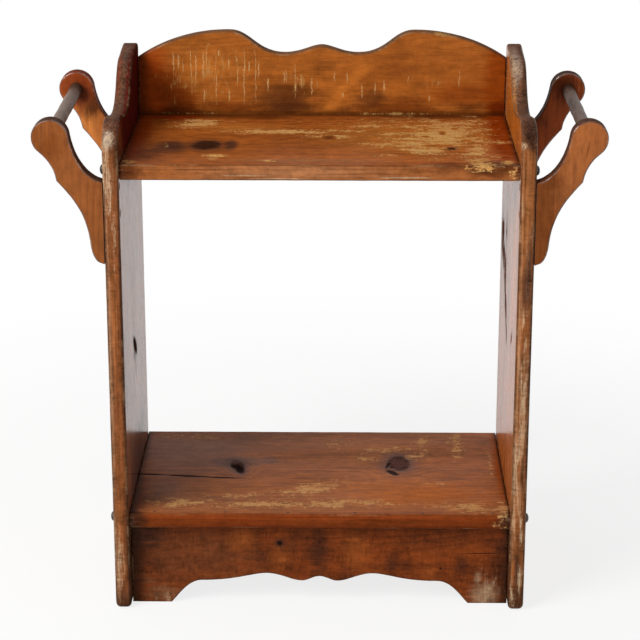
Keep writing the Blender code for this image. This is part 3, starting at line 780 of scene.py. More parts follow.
rightPanelLook = {
    **panelPine, "face": innerFace, "pith": (0.3, -0.02, 0.34), "lean": (0.0, -0.6, 0.7), "seed": 8,
    "sheen": 0.15, "glossTone": (1.0, 0.92, 0.64), "edgeTone": (0.215, 0.072, 0.023),
    "worn": edgeSpots(panelFront, 0.008, [
        (0.520, 0.024, 0.55, 0.2375, 0.0035), (0.475, 0.032, 0.50, 0.2480, 0.0040),
        (0.385, 0.024, 0.70, 0.2430, 0.0055), (0.280, 0.090, 0.95, 0.2462, 0.0050),
        (0.190, 0.060, 0.95, 0.2400, 0.0045), (0.120, 0.038, 0.75, 0.2390, 0.0034),
        (0.115, 0.038, 0.75, 0.2475, 0.0038), (0.022, 0.024, 0.75, 0.2395, 0.0045),
        (0.045, 0.024, 0.60, 0.2480, 0.0036),
    ]) + [
        # a painted highlight: a pale glint on the shoulder; then rubbed wood on the horn
        (0.594, panelFront + 0.003, 0.006, 0.006, 0, 0.9, 0.2382, 0.0040),
        (0.640, 0.055, 0.055, 0.060, 0, 0.75, 0.2385, 0.0055),
    ],
    "smears": edgeSpots(panelFront, 0.008, [
        (0.415, 0.046, 1.0, 0.2440, 0.0070), (0.180, 0.050, 1.0, 0.2470, 0.0030),
        (0.060, 0.056, 0.9, 0.2440, 0.0060), (0.300, 0.100, 0.6, 0.2405, 0.0030),
    ]) + [
        (0.620, 0.020, 0.080, 0.130, 0, 1.2, 0.2535, 0.0055),
        (0.606, -0.118, 0.018, 0.040, 0, 1.2, 0.2470, 0.0090),
        (-0.004, panelFront, 0.044, 0.030, 0, 1.3, 0.2445, 0.016),
    ],
    "coats": [
        ((0.40, 0.190, 0.090), 0.7, 0.9, edgeSpots(panelFront, 0.020, [
            (0.300, 0.300, 1.0, 0.2378, 0.0040), (0.260, 0.090, 0.9, 0.2440, 0.0050),
            (0.150, 0.030, 0.9, 0.2440, 0.0050),
        ])),
        # mostly painted shade down the outer side of the front edge, the side turned away from the light,
        # with some dark marks
        ((0.090, 0.040, 0.024), 0.8, 0.9, edgeSpots(panelFront, 0.020, [
            (0.300, 0.320, 1.0, 0.2525, 0.0036), (0.440, 0.060, 1.1, 0.2480, 0.0060),
            (0.050, 0.030, 0.9, 0.2460, 0.0060),
        ])),
        ((0.345, 0.090, 0.012), 0.8, 1.0, [(0.145, 0.000, 0.050, 0.150, 0, 1.0)]),
        ((0.48, 0.138, 0.011), 0.8, 0.6, [(0.612, 0.030, 0.060, 0.120, 0, 1.3, innerFace, 0.0040)]),
        ((0.160, 0.078, 0.056), 0.95, 1.2, [
            (0.316, 0.010, 0.034, 0.018, 30, 0.95), (0.345, 0.032, 0.060, 0.024, 40, 1.05),
            (0.380, 0.052, 0.052, 0.030, 0, 1.05), (0.395, 0.080, 0.034, 0.036, 0, 1.0),
            (0.415, 0.106, 0.042, 0.034, 0, 1.15), (0.440, 0.045, 0.060, 0.024, 0, 0.85),
            (0.335, -0.073, 0.030, 0.015, -40, 0.9),
        ]),
        ((0.070, 0.026, 0.012), 0.9, 1.3, [(0.040, -0.131, 0.080, 0.020, 0, 1.3, innerFace, 0.0030)]),
        ((0.040, 0.014, 0.008), 0.9, 0.3, [
            (0.606, panelFront + 0.008, 0.015, 0.024, 0, 1.4, 0.2480, 0.0080),
        ]),
        ((0.34, 0.230, 0.165), 0.8, 0.9, [(0.646, 0.065, 0.022, 0.060, 0, 1.2, 0.2420, 0.0070)]),
        ((0.34, 0.130, 0.042), 0.55, 0.9, [(0.520, panelFront, 0.080, 0.020, 0, 1.0, 0.2440, 0.0060)]),
    ],
}
panelRows = (panelLow.y + boardThick / 2, panelHigh.y - boardThick / 2)
armScrews = [(y, shelfTop - drop) for y in panelRows for drop in panelShape["screwDrops"]]
for (sideName, side), look in zip(bothSides, (leftPanelLook, rightPanelLook)):
    node, title = sideName + "_side_panel", sideName + "SidePanel"
    low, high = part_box(node)
    radii = wornArris(panelShape["arris"], panelShape["arrisSeed"] + side,
                      panelShape["footArris"], panelShape["footHeight"])
    mesh = boardMesh(title, panelOutline(panelShape), "X", low.x, high.x, radii, (0, 1),
                     screwHoles(-side, armScrews))
    addPiece(title, mesh, pineFinish(sideName + "PanelPine", look), stands=[node])
print("side panels")

# Shelves: plain boards, their long edges rubbed.
shelfShape = {"arris": 0.0022, "arrisSeed": 31}
topShelfLook = {
    "order": "XYZ", "face": shelfTop, "pith": (0.0, 0.02, 0.50), "seed": 5, "sheen": 0.035,
    "roughness": 0.34, "early": (0.43, 0.112, 0.016), "late": (0.18, 0.039, 0.006),
    "stain": (0.12, 0.027, 0.006), "rubAndHighlightDepth": 0.3, "mottle": 1.3, "fibreDepth": 0.45,
    "seamTone": (0.060, 0.013, 0.003), "smearTone": (0.110, 0.024, 0.006), "edgeTone": (0.27, 0.098, 0.034),
    "edgeDepth": 0.7, "edgeDull": 0.6, "knotHalo": (0.060, 0.017, 0.008), "knotTone": (0.040, 0.013, 0.006),
    "glossTone": (1.0, 0.92, 0.80), "glowTone": (0.52, 0.188, 0.034), "glowDepth": 0.5,
    "wornFlake": (170.0, 300.0, 300.0), "wornPatch": (34.0, 80.0, 80.0), "wornTone": (0.64, 0.36, 0.12),
    "wornDepth": 0.95, "wornSpan": 0.6,
    # dirt and painted shade along both panels and the splash back, wider at the left panel
    "seams": [(0, -endSeam, 0.018), (0, endSeam, 0.012), (1, splashSeam, 0.020)],
    "knots": [(-0.138, -0.042, 0.020, 0.026, 0, 1.0), (0.158, -0.056, 0.008, 0.008, 0, 0.8)],
    "smears": [
        (-0.175, -0.048, 0.018, 0.026, 0, 1.0), (-0.110, -0.041, 0.010, 0.025, 0, 1.0),
        (0.010, -0.001, 0.007, 0.011, 0, 1.1), (0.150, 0.022, 0.004, 0.012, 0, 0.8),
        (0.224, 0.060, 0.016, 0.060, 0, 1.0), (0.226, -0.040, 0.018, 0.070, 0, 1.0),
        # these four smears are painted shade: along the back at the splash back, and at the left end
        (-0.168, 0.116, 0.065, 0.014, 0, 0.8), (-0.068, 0.106, 0.030, 0.018, 0, 0.8),
        (0.130, 0.116, 0.110, 0.011, 0, 0.8), (-0.228, -0.010, 0.014, 0.120, 0, 0.7),
        (0.150, -0.131, 0.040, 0.012, 0, 1.0), (-0.205, -0.100, 0.050, 0.050, 0, 0.75),
        (-0.145, -0.045, 0.070, 0.040, 0, 0.35),
        (-0.228, shelfFront, 0.020, 0.010, 0, 1.0, shelfTop - 0.009, 0.014),
        (0.200, shelfFront, 0.045, 0.006, 0, 0.8, shelfTop - 0.010, 0.010),
    ],
    "glows": [(0.120, 0.010, 0.150, 0.110, 0, 1.0), (-0.100, 0.050, 0.100, 0.050, 0, 0.7)],
    "coats": [
        ((0.43, 0.180, 0.075), 0.6, 0.6, [
            (-0.020, shelfFront, 0.150, 0.010, 0, 0.9, shelfTop - 0.009, 0.014),
        ]),
        ((0.52, 0.330, 0.190), 0.7, 0.8, edgeSpots(shelfFront, 0.008, [
            (-0.090, 0.060, 0.7, shelfTop - 0.0125, 0.0018),
            (-0.045, 0.060, 0.8, shelfTop - 0.0165, 0.0015), (0.100, 0.055, 0.8, shelfTop - 0.0150, 0.0018),
            (0.190, 0.030, 0.8, shelfTop - 0.0070, 0.0012),
        ])),
        ((0.070, 0.026, 0.010), 0.7, 0.6, edgeSpots(shelfFront, 0.008, [
            (-0.150, 0.070, 0.8, shelfTop - 0.0060, 0.0013), (0.020, 0.060, 0.6, shelfTop - 0.0110, 0.0012),
        ])),
        ((0.30, 0.120, 0.042), 0.6, 0.4, [(-0.010, -0.116, 0.180, 0.018, 0, 0.8)]),
        # painted shade along the foot of the splash back
        ((0.115, 0.028, 0.004), 0.8, 0.3, [
            (-0.120, 0.114, 0.130, 0.020, 0, 1.0), (0.155, 0.114, 0.100, 0.020, 0, 1.1),
        ]),
        ((0.25, 0.034, 0.001), 0.9, 0.9, [(0.226, 0.020, 0.019, 0.130, 0, 1.4)]),
        # painted shade at the left end beside the left panel, and in the back left corner
        ((0.23, 0.026, 0.0014), 0.85, 0.3, [
            (-0.228, 0.010, 0.020, 0.150, 0, 1.2), (-0.192, 0.108, 0.040, 0.026, 0, 1.1),
        ]),
        ((0.052, 0.020, 0.012), 0.85, 0.5, [
            (-0.180, -0.048, 0.024, 0.034, 0, 1.1), (-0.108, -0.042, 0.010, 0.032, 0, 1.1),
            (-0.145, -0.046, 0.060, 0.008, 0, 0.8),
        ]),
        ((0.080, 0.022, 0.006), 0.8, 0.6, [
            (0.212, -0.130, 0.034, 0.013, 0, 1.2),
            (-0.232, shelfFront, 0.024, 0.010, 0, 1.3, shelfTop - 0.010, 0.016),
            (0.200, shelfFront, 0.050, 0.008, 0, 1.0, shelfTop - 0.004, 0.010),
        ]),
    ],
    "worn": edgeSpots(shelfFront, 0.006, [
        (0.195, 0.030, 0.25, shelfTop - 0.003, 0.005), (0.226, 0.009, 0.30, shelfTop - 0.009, 0.010),
    ]) + [
        (-0.151, 0.072, 0.040, 0.022, 0, 0.9), (-0.038, 0.030, 0.056, 0.018, 0, 0.85),
        (0.008, 0.004, 0.036, 0.018, 0, 0.6), (0.146, 0.014, 0.066, 0.088, 0, 0.85),
        (0.112, -0.034, 0.055, 0.036, 0, 0.65), (0.188, -0.070, 0.020, 0.050, 0, 0.8),
        (0.131, -0.070, 0.045, 0.024, 0, 0.6), (0.170, 0.074, 0.060, 0.030, 0, 0.5),
        (0.189, -0.125, 0.015, 0.020, 0, 0.75), (0.222, -0.120, 0.010, 0.016, 0, 0.5),
        (-0.125, -0.097, 0.026, 0.016, 0, 0.45), (-0.061, -0.116, 0.018, 0.009, 0, 0.6),
        (0.072, -0.090, 0.024, 0.012, 0, 0.5), (-0.223, -0.122, 0.014, 0.018, 0, 0.6),
        (-0.186, -0.045, 0.005, 0.018, 0, 0.7), (0.050, 0.060, 0.120, 0.050, 0, 0.2),
    ],
    "kept": [  # varnish left inside the worn places
        (0.010, -0.001, 0.008, 0.011, 0, 1.2), (0.150, 0.022, 0.007, 0.015, 0, 0.9),
        (0.177, -0.016, 0.009, 0.008, 0, 0.9), (0.129, 0.006, 0.007, 0.009, 0, 0.9),
        (0.098, 0.040, 0.026, 0.018, 0, 0.8), (0.166, 0.046, 0.007, 0.009, 0, 0.8),
        (0.194, 0.018, 0.005, 0.012, 0, 0.8), (0.140, -0.042, 0.032, 0.009, 0, 0.8),
        (0.176, -0.050, 0.018, 0.009, 0, 0.7), (0.120, 0.072, 0.018, 0.010, 0, 0.7),
    ],
}
lowerShelfLook = {
    "order": "XYZ", "face": lowerTop, "pith": (0.0, -0.03, 0.03), "seed": 6, "sheen": 0.055,
    "roughness": 0.40, "glossTone": (1.0, 0.90, 0.76), "early": (0.39, 0.115, 0.025),
    "late": (0.17, 0.048, 0.012), "rubAndHighlightDepth": 0.25, "edgeTone": (0.135, 0.021, 0.0035), "edgeDepth": 0.9,
    "edgeDull": 0.6, "grimeDepth": 0.22, "arrisDepth": 0.2, "smearTone": (0.190, 0.105, 0.074),
    "smearDepth": 0.6, "knotTone": (0.092, 0.043, 0.036), "knotHalo": (0.105, 0.047, 0.036),
    "glowTone": (0.50, 0.150, 0.030), "wornTone": (0.58, 0.33, 0.13), "wornFlake": (190.0, 340.0, 340.0),
    "wornPatch": (60.0, 120.0, 120.0),
    # dirt and painted shade along both panels, wider at the left panel
    "seams": [(0, -endSeam, 0.016), (0, endSeam, 0.008)],
    # grey-brown smears over the left and back paint shade and reflection there, and haze round the knots
    "smears": [
        (-0.170, 0.070, 0.110, 0.060, 0, 0.5), (-0.109, 0.030, 0.055, 0.042, 0, 0.7),
        (-0.200, -0.055, 0.050, 0.055, 0, 0.65), (0.101, 0.029, 0.026, 0.038, 0, 0.8),
        (-0.108, 0.030, 0.070, 0.030, 0, 0.9),
    ],
    "coats": [
        # painted reflection: a greyer tone over the left and back
        ((0.315, 0.130, 0.073), 0.8, 0.2, [(-0.190, 0.085, 0.095, 0.055, 0, 1.15)]),
        ((0.39, 0.096, 0.004), 0.65, 0.8, [(0.130, -0.075, 0.100, 0.050, 0, 1.0)]),
        ((0.165, 0.080, 0.066), 0.6, 0.2, [
            (-0.114, 0.033, 0.038, 0.020, 0, 0.95), (-0.070, 0.036, 0.022, 0.014, 0, 0.85),
        ]),
        ((0.25, 0.052, 0.006), 0.85, 1.0, [(0.233, 0.020, 0.011, 0.180, 0, 1.1)]),
        # painted shade at the left end beside the left panel
        ((0.100, 0.021, 0.006), 0.8, 0.6, [(-0.232, -0.080, 0.016, 0.090, 0, 1.0)]),
        ((0.22, 0.042, 0.008), 0.8, 0.6, [(0.0, shelfFront, 0.600, 0.012, 0, 1.0, 0.1240, 0.0045)]),
        ((0.090, 0.016, 0.004), 0.8, 0.6, [(0.0, shelfFront, 0.600, 0.008, 0, 0.9, 0.1082, 0.0070)]),
        ((0.040, 0.013, 0.006), 0.9, 0.8, edgeSpots(shelfFront, 0.010, [
            (-0.232, 0.017, 1.4, 0.117, 0.018), (0.233, 0.014, 1.2, 0.117, 0.018),
        ])),
    ],
    "knots": [(-0.108, 0.018, 0.013, 0.030, 12, 0.80), (0.101, 0.030, 0.024, 0.038, 0, 0.75)],
    "cracks": [
        (-0.222, -0.0108, 0.040, 0.0036, -5, 1.0), (-0.172, -0.0160, 0.040, 0.0036, -6, 1.1),
        (-0.125, -0.0212, 0.038, 0.0030, -4, 1.0), (0.0925, -0.002, 0.017, 0.0065, -55, 1.0),
        (-0.1055, 0.008, 0.008, 0.024, 14, 0.95), (-0.113, 0.018, 0.008, 0.008, 0, 0.8),
        (0.0875, 0.024, 0.0035, 0.022, -16, 0.8), (0.104, 0.0525, 0.014, 0.0035, 0, 0.7),
    ],
    "glows": [(0.110, -0.060, 0.160, 0.090, 0, 0.7)],
    "worn": [
        (-0.015, -0.057, 0.056, 0.017, 28, 0.8), (-0.073, -0.108, 0.076, 0.012, 0, 0.85),
        (0.002, -0.105, 0.028, 0.015, 0, 0.95), (-0.171, -0.102, 0.046, 0.019, 12, 0.7),
        (-0.107, -0.082, 0.038, 0.015, 0, 0.6), (0.058, -0.100, 0.050, 0.014, -8, 0.7),
        (0.189, -0.116, 0.060, 0.017, -8, 0.75), (0.145, -0.040, 0.016, 0.008, 0, 0.7),
        (0.135, 0.109, 0.010, 0.032, 0, 0.85), (0.179, 0.093, 0.010, 0.044, 0, 0.95),
        (0.127, 0.055, 0.024, 0.017, 0, 0.6), (0.058, 0.046, 0.028, 0.013, 0, 0.6),
        (0.020, 0.100, 0.026, 0.028, 0, 0.45), (-0.165, 0.121, 0.060, 0.015, 0, 0.4),
        (0.085, 0.074, 0.060, 0.026, 0, 0.4), (0.227, -0.118, 0.010, 0.024, 0, 0.9),
        (0.2205, 0.024, 0.005, 0.066, 0, 0.4), (0.220, shelfFront, 0.014, 0.006, 0, 0.6, 0.112, 0.008),
    ],
}
for node, title, look in (("top_shelf", "topShelf", topShelfLook),
                          ("lower_shelf", "lowerShelf", lowerShelfLook)):
    low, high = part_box(node)
    outline = np.array([(low.x, low.y), (high.x, low.y), (high.x, high.y), (low.x, high.y)])
    radii = wornArris(shelfShape["arris"], shelfShape["arrisSeed"])
    mesh = boardMesh(title, outline, "Z", low.z, high.z, radii, (1, 0))
    addPiece(title, mesh, pineFinish(title + "Pine", look), stands=[node])
print("shelves")

# Splash back: three swells along the top.
splashShape = {
    "humpRise": 0.088, "humpPull": 0.012,
    "valleyRise": 0.078, "valleyX": 0.047, "valleyInPull": 0.021, "valleyOutPull": 0.037,
    "lobeRise": 0.107, "lobeX": 0.118, "lobeInPull": 0.028, "lobeOutPull": 0.042,
    "endRise": 0.072, "endPull": (0.035, 0.024),
    "arris": 0.0022, "arrisSeed": 41, "screwSpacing": 0.160,
}


def splashOutline(shape, low, high):
    # hump, valley, lobe and end of the right half joined by cubic curves, then mirrored
    reach, bottom = high.x, low.z
    hump = (0, shelfTop + shape["humpRise"])
    valley = (shape["valleyX"], shelfTop + shape["valleyRise"])
    lobe = (shape["lobeX"], shelfTop + shape["lobeRise"])
    end = (reach, shelfTop + shape["endRise"])
    half = np.vstack([
        bezierRun(hump, (shape["humpPull"], hump[1]), (valley[0] - shape["valleyInPull"], valley[1]), valley),
        bezierRun(valley, (valley[0] + shape["valleyOutPull"], valley[1]),
                  (lobe[0] - shape["lobeInPull"], lobe[1]), lobe),
        bezierRun(lobe, (lobe[0] + shape["lobeOutPull"], lobe[1]),
                  (end[0] - shape["endPull"][0], end[1] + shape["endPull"][1]), end),
        [end],
    ])
    return np.vstack([[(-reach, bottom), (reach, bottom)], half[::-1], half[1:] * (-1, 1)])


scratchRuns = [  # place along the board, top and bottom, in millimetres
    (-189, 649, 622), (-183, 647, 630), (-177, 642, 624), (-167, 653, 615), (-161, 649, 615),
    (-151, 650, 615), (-151, 602, 586), (-147, 655, 634), (-135, 648, 586), (-131, 654, 645),
    (-119, 643, 629), (-118, 602, 587), (-109, 647, 634), (-107, 632, 607), (-99, 650, 586),
    (-93, 638, 626), (-85, 653, 588), (-81, 638, 617), (-69, 618, 601), (-48, 626, 611),
    (-45, 628, 611), (-34, 633, 595), (-26, 622, 607), (-13, 618, 597), (16, 626, 613), (27, 599, 592),
    (33, 624, 611), (51, 611, 592), (68, 613, 597), (79, 615, 599), (110, 620, 611), (137, 595, 588),
    (175, 628, 607),
]
splashLow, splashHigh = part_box("splash_back")
splashLook = {
    "order": "XZY", "face": splashLow.y, "pith": (0.0, 0.60, 0.22), "seed": 12, "sheen": 0.05,
    "seamTone": (0.060, 0.012, 0.002), "craze": 0.3, "speck": 0.6, "poreDepth": 0.25, "arrisDepth": 0.3,
    "early": (0.465, 0.140, 0.020), "late": (0.22, 0.055, 0.009), "stain": (0.15, 0.038, 0.008),
    "edgeTone": (0.165, 0.082, 0.042), "edgeDepth": 0.9, "edgeDull": 0.95, "rubAndHighlightDepth": 0.4,
    "ringDepth": 0.14, "fibreDepth": 0.24, "bandDepth": 0.2, "stainScale": (8.0, 20.0, 20.0),
    "stainDepth": 0.57, "mottle": 0.9, "smearTone": (0.080, 0.020, 0.005), "smearDepth": 0.7,
    "glowTone": (0.55, 0.175, 0.024), "wornFlake": (520.0, 90.0, 520.0), "wornPatch": (90.0, 40.0, 90.0),
    "wornTone": (0.50, 0.28, 0.09), "wornDepth": 0.7, "scratchTone": (0.58, 0.34, 0.135),
    # dirt and painted shade along both panels and the shelf, wider at the left panel
    "seams": [(0, -endSeam, 0.030), (0, endSeam, 0.004), (1, shelfTop, 0.012)],
    "coats": [
        ((0.16, 0.034, 0.004), 0.8, 0.3, [
            (-0.115, 0.580, 0.080, 0.012, 0, 0.9), (0.100, 0.580, 0.050, 0.014, 0, 1.1),
        ]),
        ((0.25, 0.050, 0.005), 0.7, 0.3, [(0.175, 0.597, 0.055, 0.016, 0, 1.0)]),
        ((0.13, 0.038, 0.009), 0.75, 0.3, [
            (0.062, 0.592, 0.026, 0.016, 0, 1.0), (-0.050, 0.592, 0.042, 0.018, 0, 1.1),
            (0.008, 0.634, 0.022, 0.020, 0, 0.45),
        ]),
        ((0.52, 0.160, 0.022), 0.75, 0.2, [
            (0.022, 0.596, 0.026, 0.007, 50, 1.0), (0.046, 0.621, 0.024, 0.010, 40, 0.8),
        ]),
        ((0.085, 0.022, 0.006), 0.7, 0.3, [
            (-0.042, 0.580, 0.030, 0.014, 0, 1.1), (-0.190, 0.590, 0.026, 0.024, 0, 1.1),
        ]),
        # these three coats paint the left panel's shadow over the left end
        ((0.33, 0.050, 0.004), 0.9, 0.3, [(-0.226, 0.600, 0.030, 0.060, 0, 1.4)]),
        ((0.20, 0.034, 0.0025), 0.8, 0.4, [
            (-0.194, 0.608, 0.022, 0.030, 0, 1.05), (-0.177, 0.590, 0.022, 0.020, 0, 1.1),
        ]),
        ((0.085, 0.013, 0.001), 0.8, 0.4, [(-0.178, 0.574, 0.030, 0.011, 0, 1.1)]),
        ((0.27, 0.050, 0.0025), 0.85, 0.3, [(0.228, 0.612, 0.019, 0.060, 0, 1.4)]),
        ((0.12, 0.014, 0.0008), 0.85, 0.3, [(0.229, 0.577, 0.018, 0.014, 0, 1.2)]),
    ],
    "smears": [
        # the first three smears are painted shadow at the left end
        (-0.225, 0.615, 0.034, 0.040, 0, 0.8), (-0.205, 0.594, 0.050, 0.020, 0, 0.8),
        (-0.205, 0.577, 0.050, 0.012, 0, 0.8), (-0.030, 0.603, 0.055, 0.018, -10, 0.9),
        (-0.004, 0.628, 0.024, 0.032, 0, 0.6), (0.060, 0.580, 0.050, 0.010, 0, 0.7),
        (-0.040, 0.582, 0.060, 0.012, 0, 0.8), (0.190, 0.580, 0.060, 0.012, 0, 0.7),
    ],
    "glows": [
        (-0.135, 0.632, 0.090, 0.030, 0, 0.65), (0.020, 0.592, 0.030, 0.009, 52, 1.1),
        (0.045, 0.622, 0.030, 0.012, 40, 0.8),
    ],
    "worn": [
        (-0.165, shelfTop + 0.0012, 0.065, 0.0016, 0, 0.5),
        (0.095, shelfTop + 0.0012, 0.050, 0.0016, 0, 1.0), (0.150, 0.6745, 0.016, 0.004, -8, 0.9),
        (-0.135, 0.622, 0.075, 0.042, 0, 0.25), (-0.030, 0.612, 0.050, 0.024, 0, 0.05),
        (0.150, 0.612, 0.060, 0.016, 0, 0.05),
    ],
    "scratches": [
        (x / 1000, (top + low) / 2000, 0.0008 + (x * 7 % 5) * 0.0002, (top - low) / 1500, 0, 1.0)
        for x, top, low in scratchRuns
    ],
}
splashScrews = [(k * splashShape["screwSpacing"], shelfTop - boardThick / 2) for k in (-1, 0, 1)]
mesh = boardMesh("splashBack", splashOutline(splashShape, splashLow, splashHigh), "Y",
                 splashLow.y, splashHigh.y, wornArris(splashShape["arris"], splashShape["arrisSeed"]), (1, 0),
                 screwHoles(1, splashScrews))
addPiece("splashBack", mesh, pineFinish("splashPine", splashLook), stands=["splash_back"])
print("splash back")

# Apron: two feet and a rippled underside.
apronShape = {
    "footWidth": 0.049, "footPull": (0.008, 0.008), "footSlope": 0.038,
    "underZ": 0.030, "underPull": 0.018, "underReach": 0.046,
    "archX": 0.067, "archZ": 0.040, "archPull": 0.018,
    "cupX": 0.022, "cupZ": 0.030, "cupPull": 0.014,
    "tipZ": 0.036, "tipPull": 0.008, "arris": 0.0022, "arrisSeed": 51,
}


def apronOutline(shape, low, high):
    # tip, cup, arch, underside and foot of the right half joined by cubic curves, then mirrored
    reach, top = high.x, high.z
    tip = (0, shape["tipZ"])
    cup = (shape["cupX"], shape["cupZ"])
    arch = (shape["archX"], shape["archZ"])
    foot = (reach - shape["footWidth"], 0)
    under = (foot[0] - shape["footSlope"], shape["underZ"])
    half = np.vstack([
        bezierRun(tip, (shape["tipPull"], tip[1]), (cup[0] - shape["tipPull"], cup[1]), cup),
        bezierRun(cup, (cup[0] + shape["cupPull"], cup[1]), (arch[0] - shape["archPull"], arch[1]), arch),
        bezierRun(arch, (arch[0] + shape["archPull"], arch[1]),
                  (under[0] - shape["underReach"], under[1]), under),
        bezierRun(under, (under[0] + shape["underPull"], under[1]),
                  (foot[0] - shape["footPull"][0], shape["footPull"][1]), foot),
        [foot, (reach, 0)],
    ])
    return np.vstack([half[:0:-1] * (-1, 1), half, [(reach, top), (-reach, top)]])


apronLow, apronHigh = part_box("front_apron")
apronLook = {
    "order": "XZY", "face": apronLow.y, "pith": (0.0, 0.05, -0.05), "seed": 15, "sheen": 0.05,
    "roughness": 0.38, "early": (0.21, 0.043, 0.0075), "late": (0.085, 0.019, 0.0048),
    "stain": (0.048, 0.016, 0.007), "stainDepth": 0.6, "mottle": 1.3, "craze": 1.0, "speck": 1.3,
    "fibreDepth": 0.22, "bandDepth": 0.24, "stainScale": (26.0, 9.0, 20.0),
    "smearTone": (0.032, 0.011, 0.006), "smearDepth": 0.65, "grimeDepth": 0.4,
    "glowTone": (0.25, 0.054, 0.009), "wornSpan": 1.6, "wornFlake": (420.0, 110.0, 420.0),
    "wornPatch": (110.0, 40.0, 110.0), "wornTone": (0.42, 0.29, 0.17),
    # dirt and painted shade beside both panels and under the lower shelf, wider at the left panel
    "seams": [(0, -endSeam, 0.034), (0, endSeam, 0.016), (1, apronSeam, 0.012)],
    "glows": [
        (-0.157, 0.072, 0.034, 0.016, 0, 0.9), (0.052, 0.060, 0.038, 0.022, 0, 0.9),
        (0.190, 0.070, 0.040, 0.020, 0, 0.9), (0.130, 0.060, 0.050, 0.030, 0, 0.7),
    ],
    "smears": [
        (-0.226, 0.060, 0.022, 0.055, 0, 0.9), (-0.121, 0.068, 0.009, 0.032, 0, 0.7),
        (-0.061, 0.066, 0.022, 0.026, 0, 0.7), (-0.002, 0.068, 0.020, 0.036, 0, 0.8),
        (0.108, 0.052, 0.016, 0.022, 0, 0.6), (0.225, 0.048, 0.014, 0.032, 0, 0.8),
        (-0.140, 0.030, 0.060, 0.010, 0, 0.5),
    ],
    "cracks": [
        (-0.0496, 0.0817, 0.0042, 0.0036, 0, 1.0), (0.151, 0.048, 0.0026, 0.0026, 0, 0.8),
        (0.200, 0.0690, 0.045, 0.0009, 1, 0.8),
    ],
    "coats": [
        ((0.115, 0.036, 0.013), 0.6, 0.2, [(-0.150, 0.062, 0.095, 0.050, 0, 1.0)]),
        ((0.280, 0.070, 0.013), 0.55, 0.2, [
            (-0.098, 0.086, 0.024, 0.022, 0, 1.0), (-0.050, 0.062, 0.018, 0.024, 0, 0.9),
            (0.046, 0.074, 0.020, 0.028, 0, 1.0), (0.138, 0.040, 0.016, 0.018, 0, 0.8),
        ]),
        ((0.042, 0.014, 0.007), 0.65, 0.3, [
            (0.000, 0.078, 0.015, 0.044, 0, 1.0), (0.090, 0.052, 0.013, 0.024, 0, 0.8),
            (0.178, 0.052, 0.012, 0.024, 0, 0.8), (0.226, 0.076, 0.012, 0.018, 0, 0.9),
        ]),
        ((0.032, 0.014, 0.009), 0.8, 0.6, [
            (-0.222, 0.094, 0.036, 0.022, 0, 1.1), (-0.0496, 0.0817, 0.011, 0.009, 0, 0.9),
            (-0.050, 0.080, 0.005, 0.016, 20, 0.7),
        ]),
        ((0.34, 0.205, 0.120), 0.75, 0.8, [
            (0.206, 0.012, 0.022, 0.022, 0, 1.0), (0.198, 0.034, 0.008, 0.014, 0, 0.8),
        ]),
        ((0.20, 0.090, 0.042), 0.6, 0.6, [
            (-0.195, 0.012, 0.034, 0.016, 0, 0.9), (-0.214, 0.030, 0.020, 0.014, 0, 0.5),
        ]),
    ],
    "worn": [(0.207, 0.016, 0.020, 0.024, 0, 0.85), (-0.194, 0.006, 0.018, 0.012, 0, 0.4)],
}
mesh = boardMesh("frontApron", apronOutline(apronShape, apronLow, apronHigh), "Y", apronLow.y, apronHigh.y,
                 wornArris(apronShape["arris"], apronShape["arrisSeed"]), (1, 0))
addPiece("frontApron", mesh, pineFinish("apronPine", apronLook), stands=["front_apron"])
print("apron")

# Towel arms: sawn brackets with a round knob and a blind socket for the bar.
armShape = {
    "rootDrop": 0.0205, "rootPull": (0.022, 0.007), "rootFade": 0.004, "rootArris": 0.12,
    "knobOut": 0.060, "knobRise": 0.0325, "knobRadius": 0.022,
    "knobStart": 175, "knobEnd": -52, "knobSteps": 36,
    "knobInPull": (0.004, 0.0245), "knobOutPull": (0.012, 0.0095),
    "neckOut": 0.054, "neckDrop": 0.019, "neckUpPull": (0.0015, 0.011), "neckDownPull": (0.018, 0.020),
    "waistOut": 0.017, "waistDrop": 0.091, "waistUpPull": (0.004, 0.033), "waistDownPull": (0.001, 0.015),
    "footDrop": 0.1205, "footPull": 0.012,
    "arris": 0.0022, "socketRadius": 0.0083375, "socketDepth": 0.011, "spacing": 0.002,
}
panelOut = panelHigh.x
knobX = panelOut + armShape["knobOut"]
knobZ = shelfTop + armShape["knobRise"]


def rootedArris(shape, seed, root):
    # a worn arris that dies out over the last millimetres before the panel
    worn = wornArris(shape["arris"], seed)

    def radii(loop):
        near = np.clip((np.abs(loop[:, 0]) - root) / shape["rootFade"], shape["rootArris"], 1)
        return [radius * near for radius in worn(loop)]
    return radii


def armOutline(shape, root):
    # the right-hand arm: root, knob, neck, waist and foot joined by cubic curves
    def moved(point, pull, sign):
        return (point[0] + sign * pull[0], point[1] + sign * pull[1])

    top = (root, shelfTop - shape["rootDrop"])
    first, last = math.radians(shape["knobStart"]), math.radians(shape["knobEnd"])
    knob = (knobX, knobZ)
    knobArc = arcRun(knob, shape["knobRadius"], first, last, shape["knobSteps"])
    leave = arcRun(knob, shape["knobRadius"], last, last + 1, 1)[0]
    neck = (panelOut + shape["neckOut"], shelfTop - shape["neckDrop"])
    waist = (panelOut + shape["waistOut"], shelfTop - shape["waistDrop"])
    foot = (root, shelfTop - shape["footDrop"])
    return np.vstack([
        bezierRun(top, moved(top, shape["rootPull"], 1),
                  moved(knobArc[0], shape["knobInPull"], -1), knobArc[0]),
        knobArc,
        bezierRun(leave, moved(leave, shape["knobOutPull"], -1), moved(neck, shape["neckUpPull"], 1), neck),
        bezierRun(neck, moved(neck, shape["neckDownPull"], -1), moved(waist, shape["waistUpPull"], 1), waist),
        bezierRun(waist, moved(waist, shape["waistDownPull"], -1),
                  (foot[0] + shape["footPull"], foot[1]), foot),
        [foot],
    ])


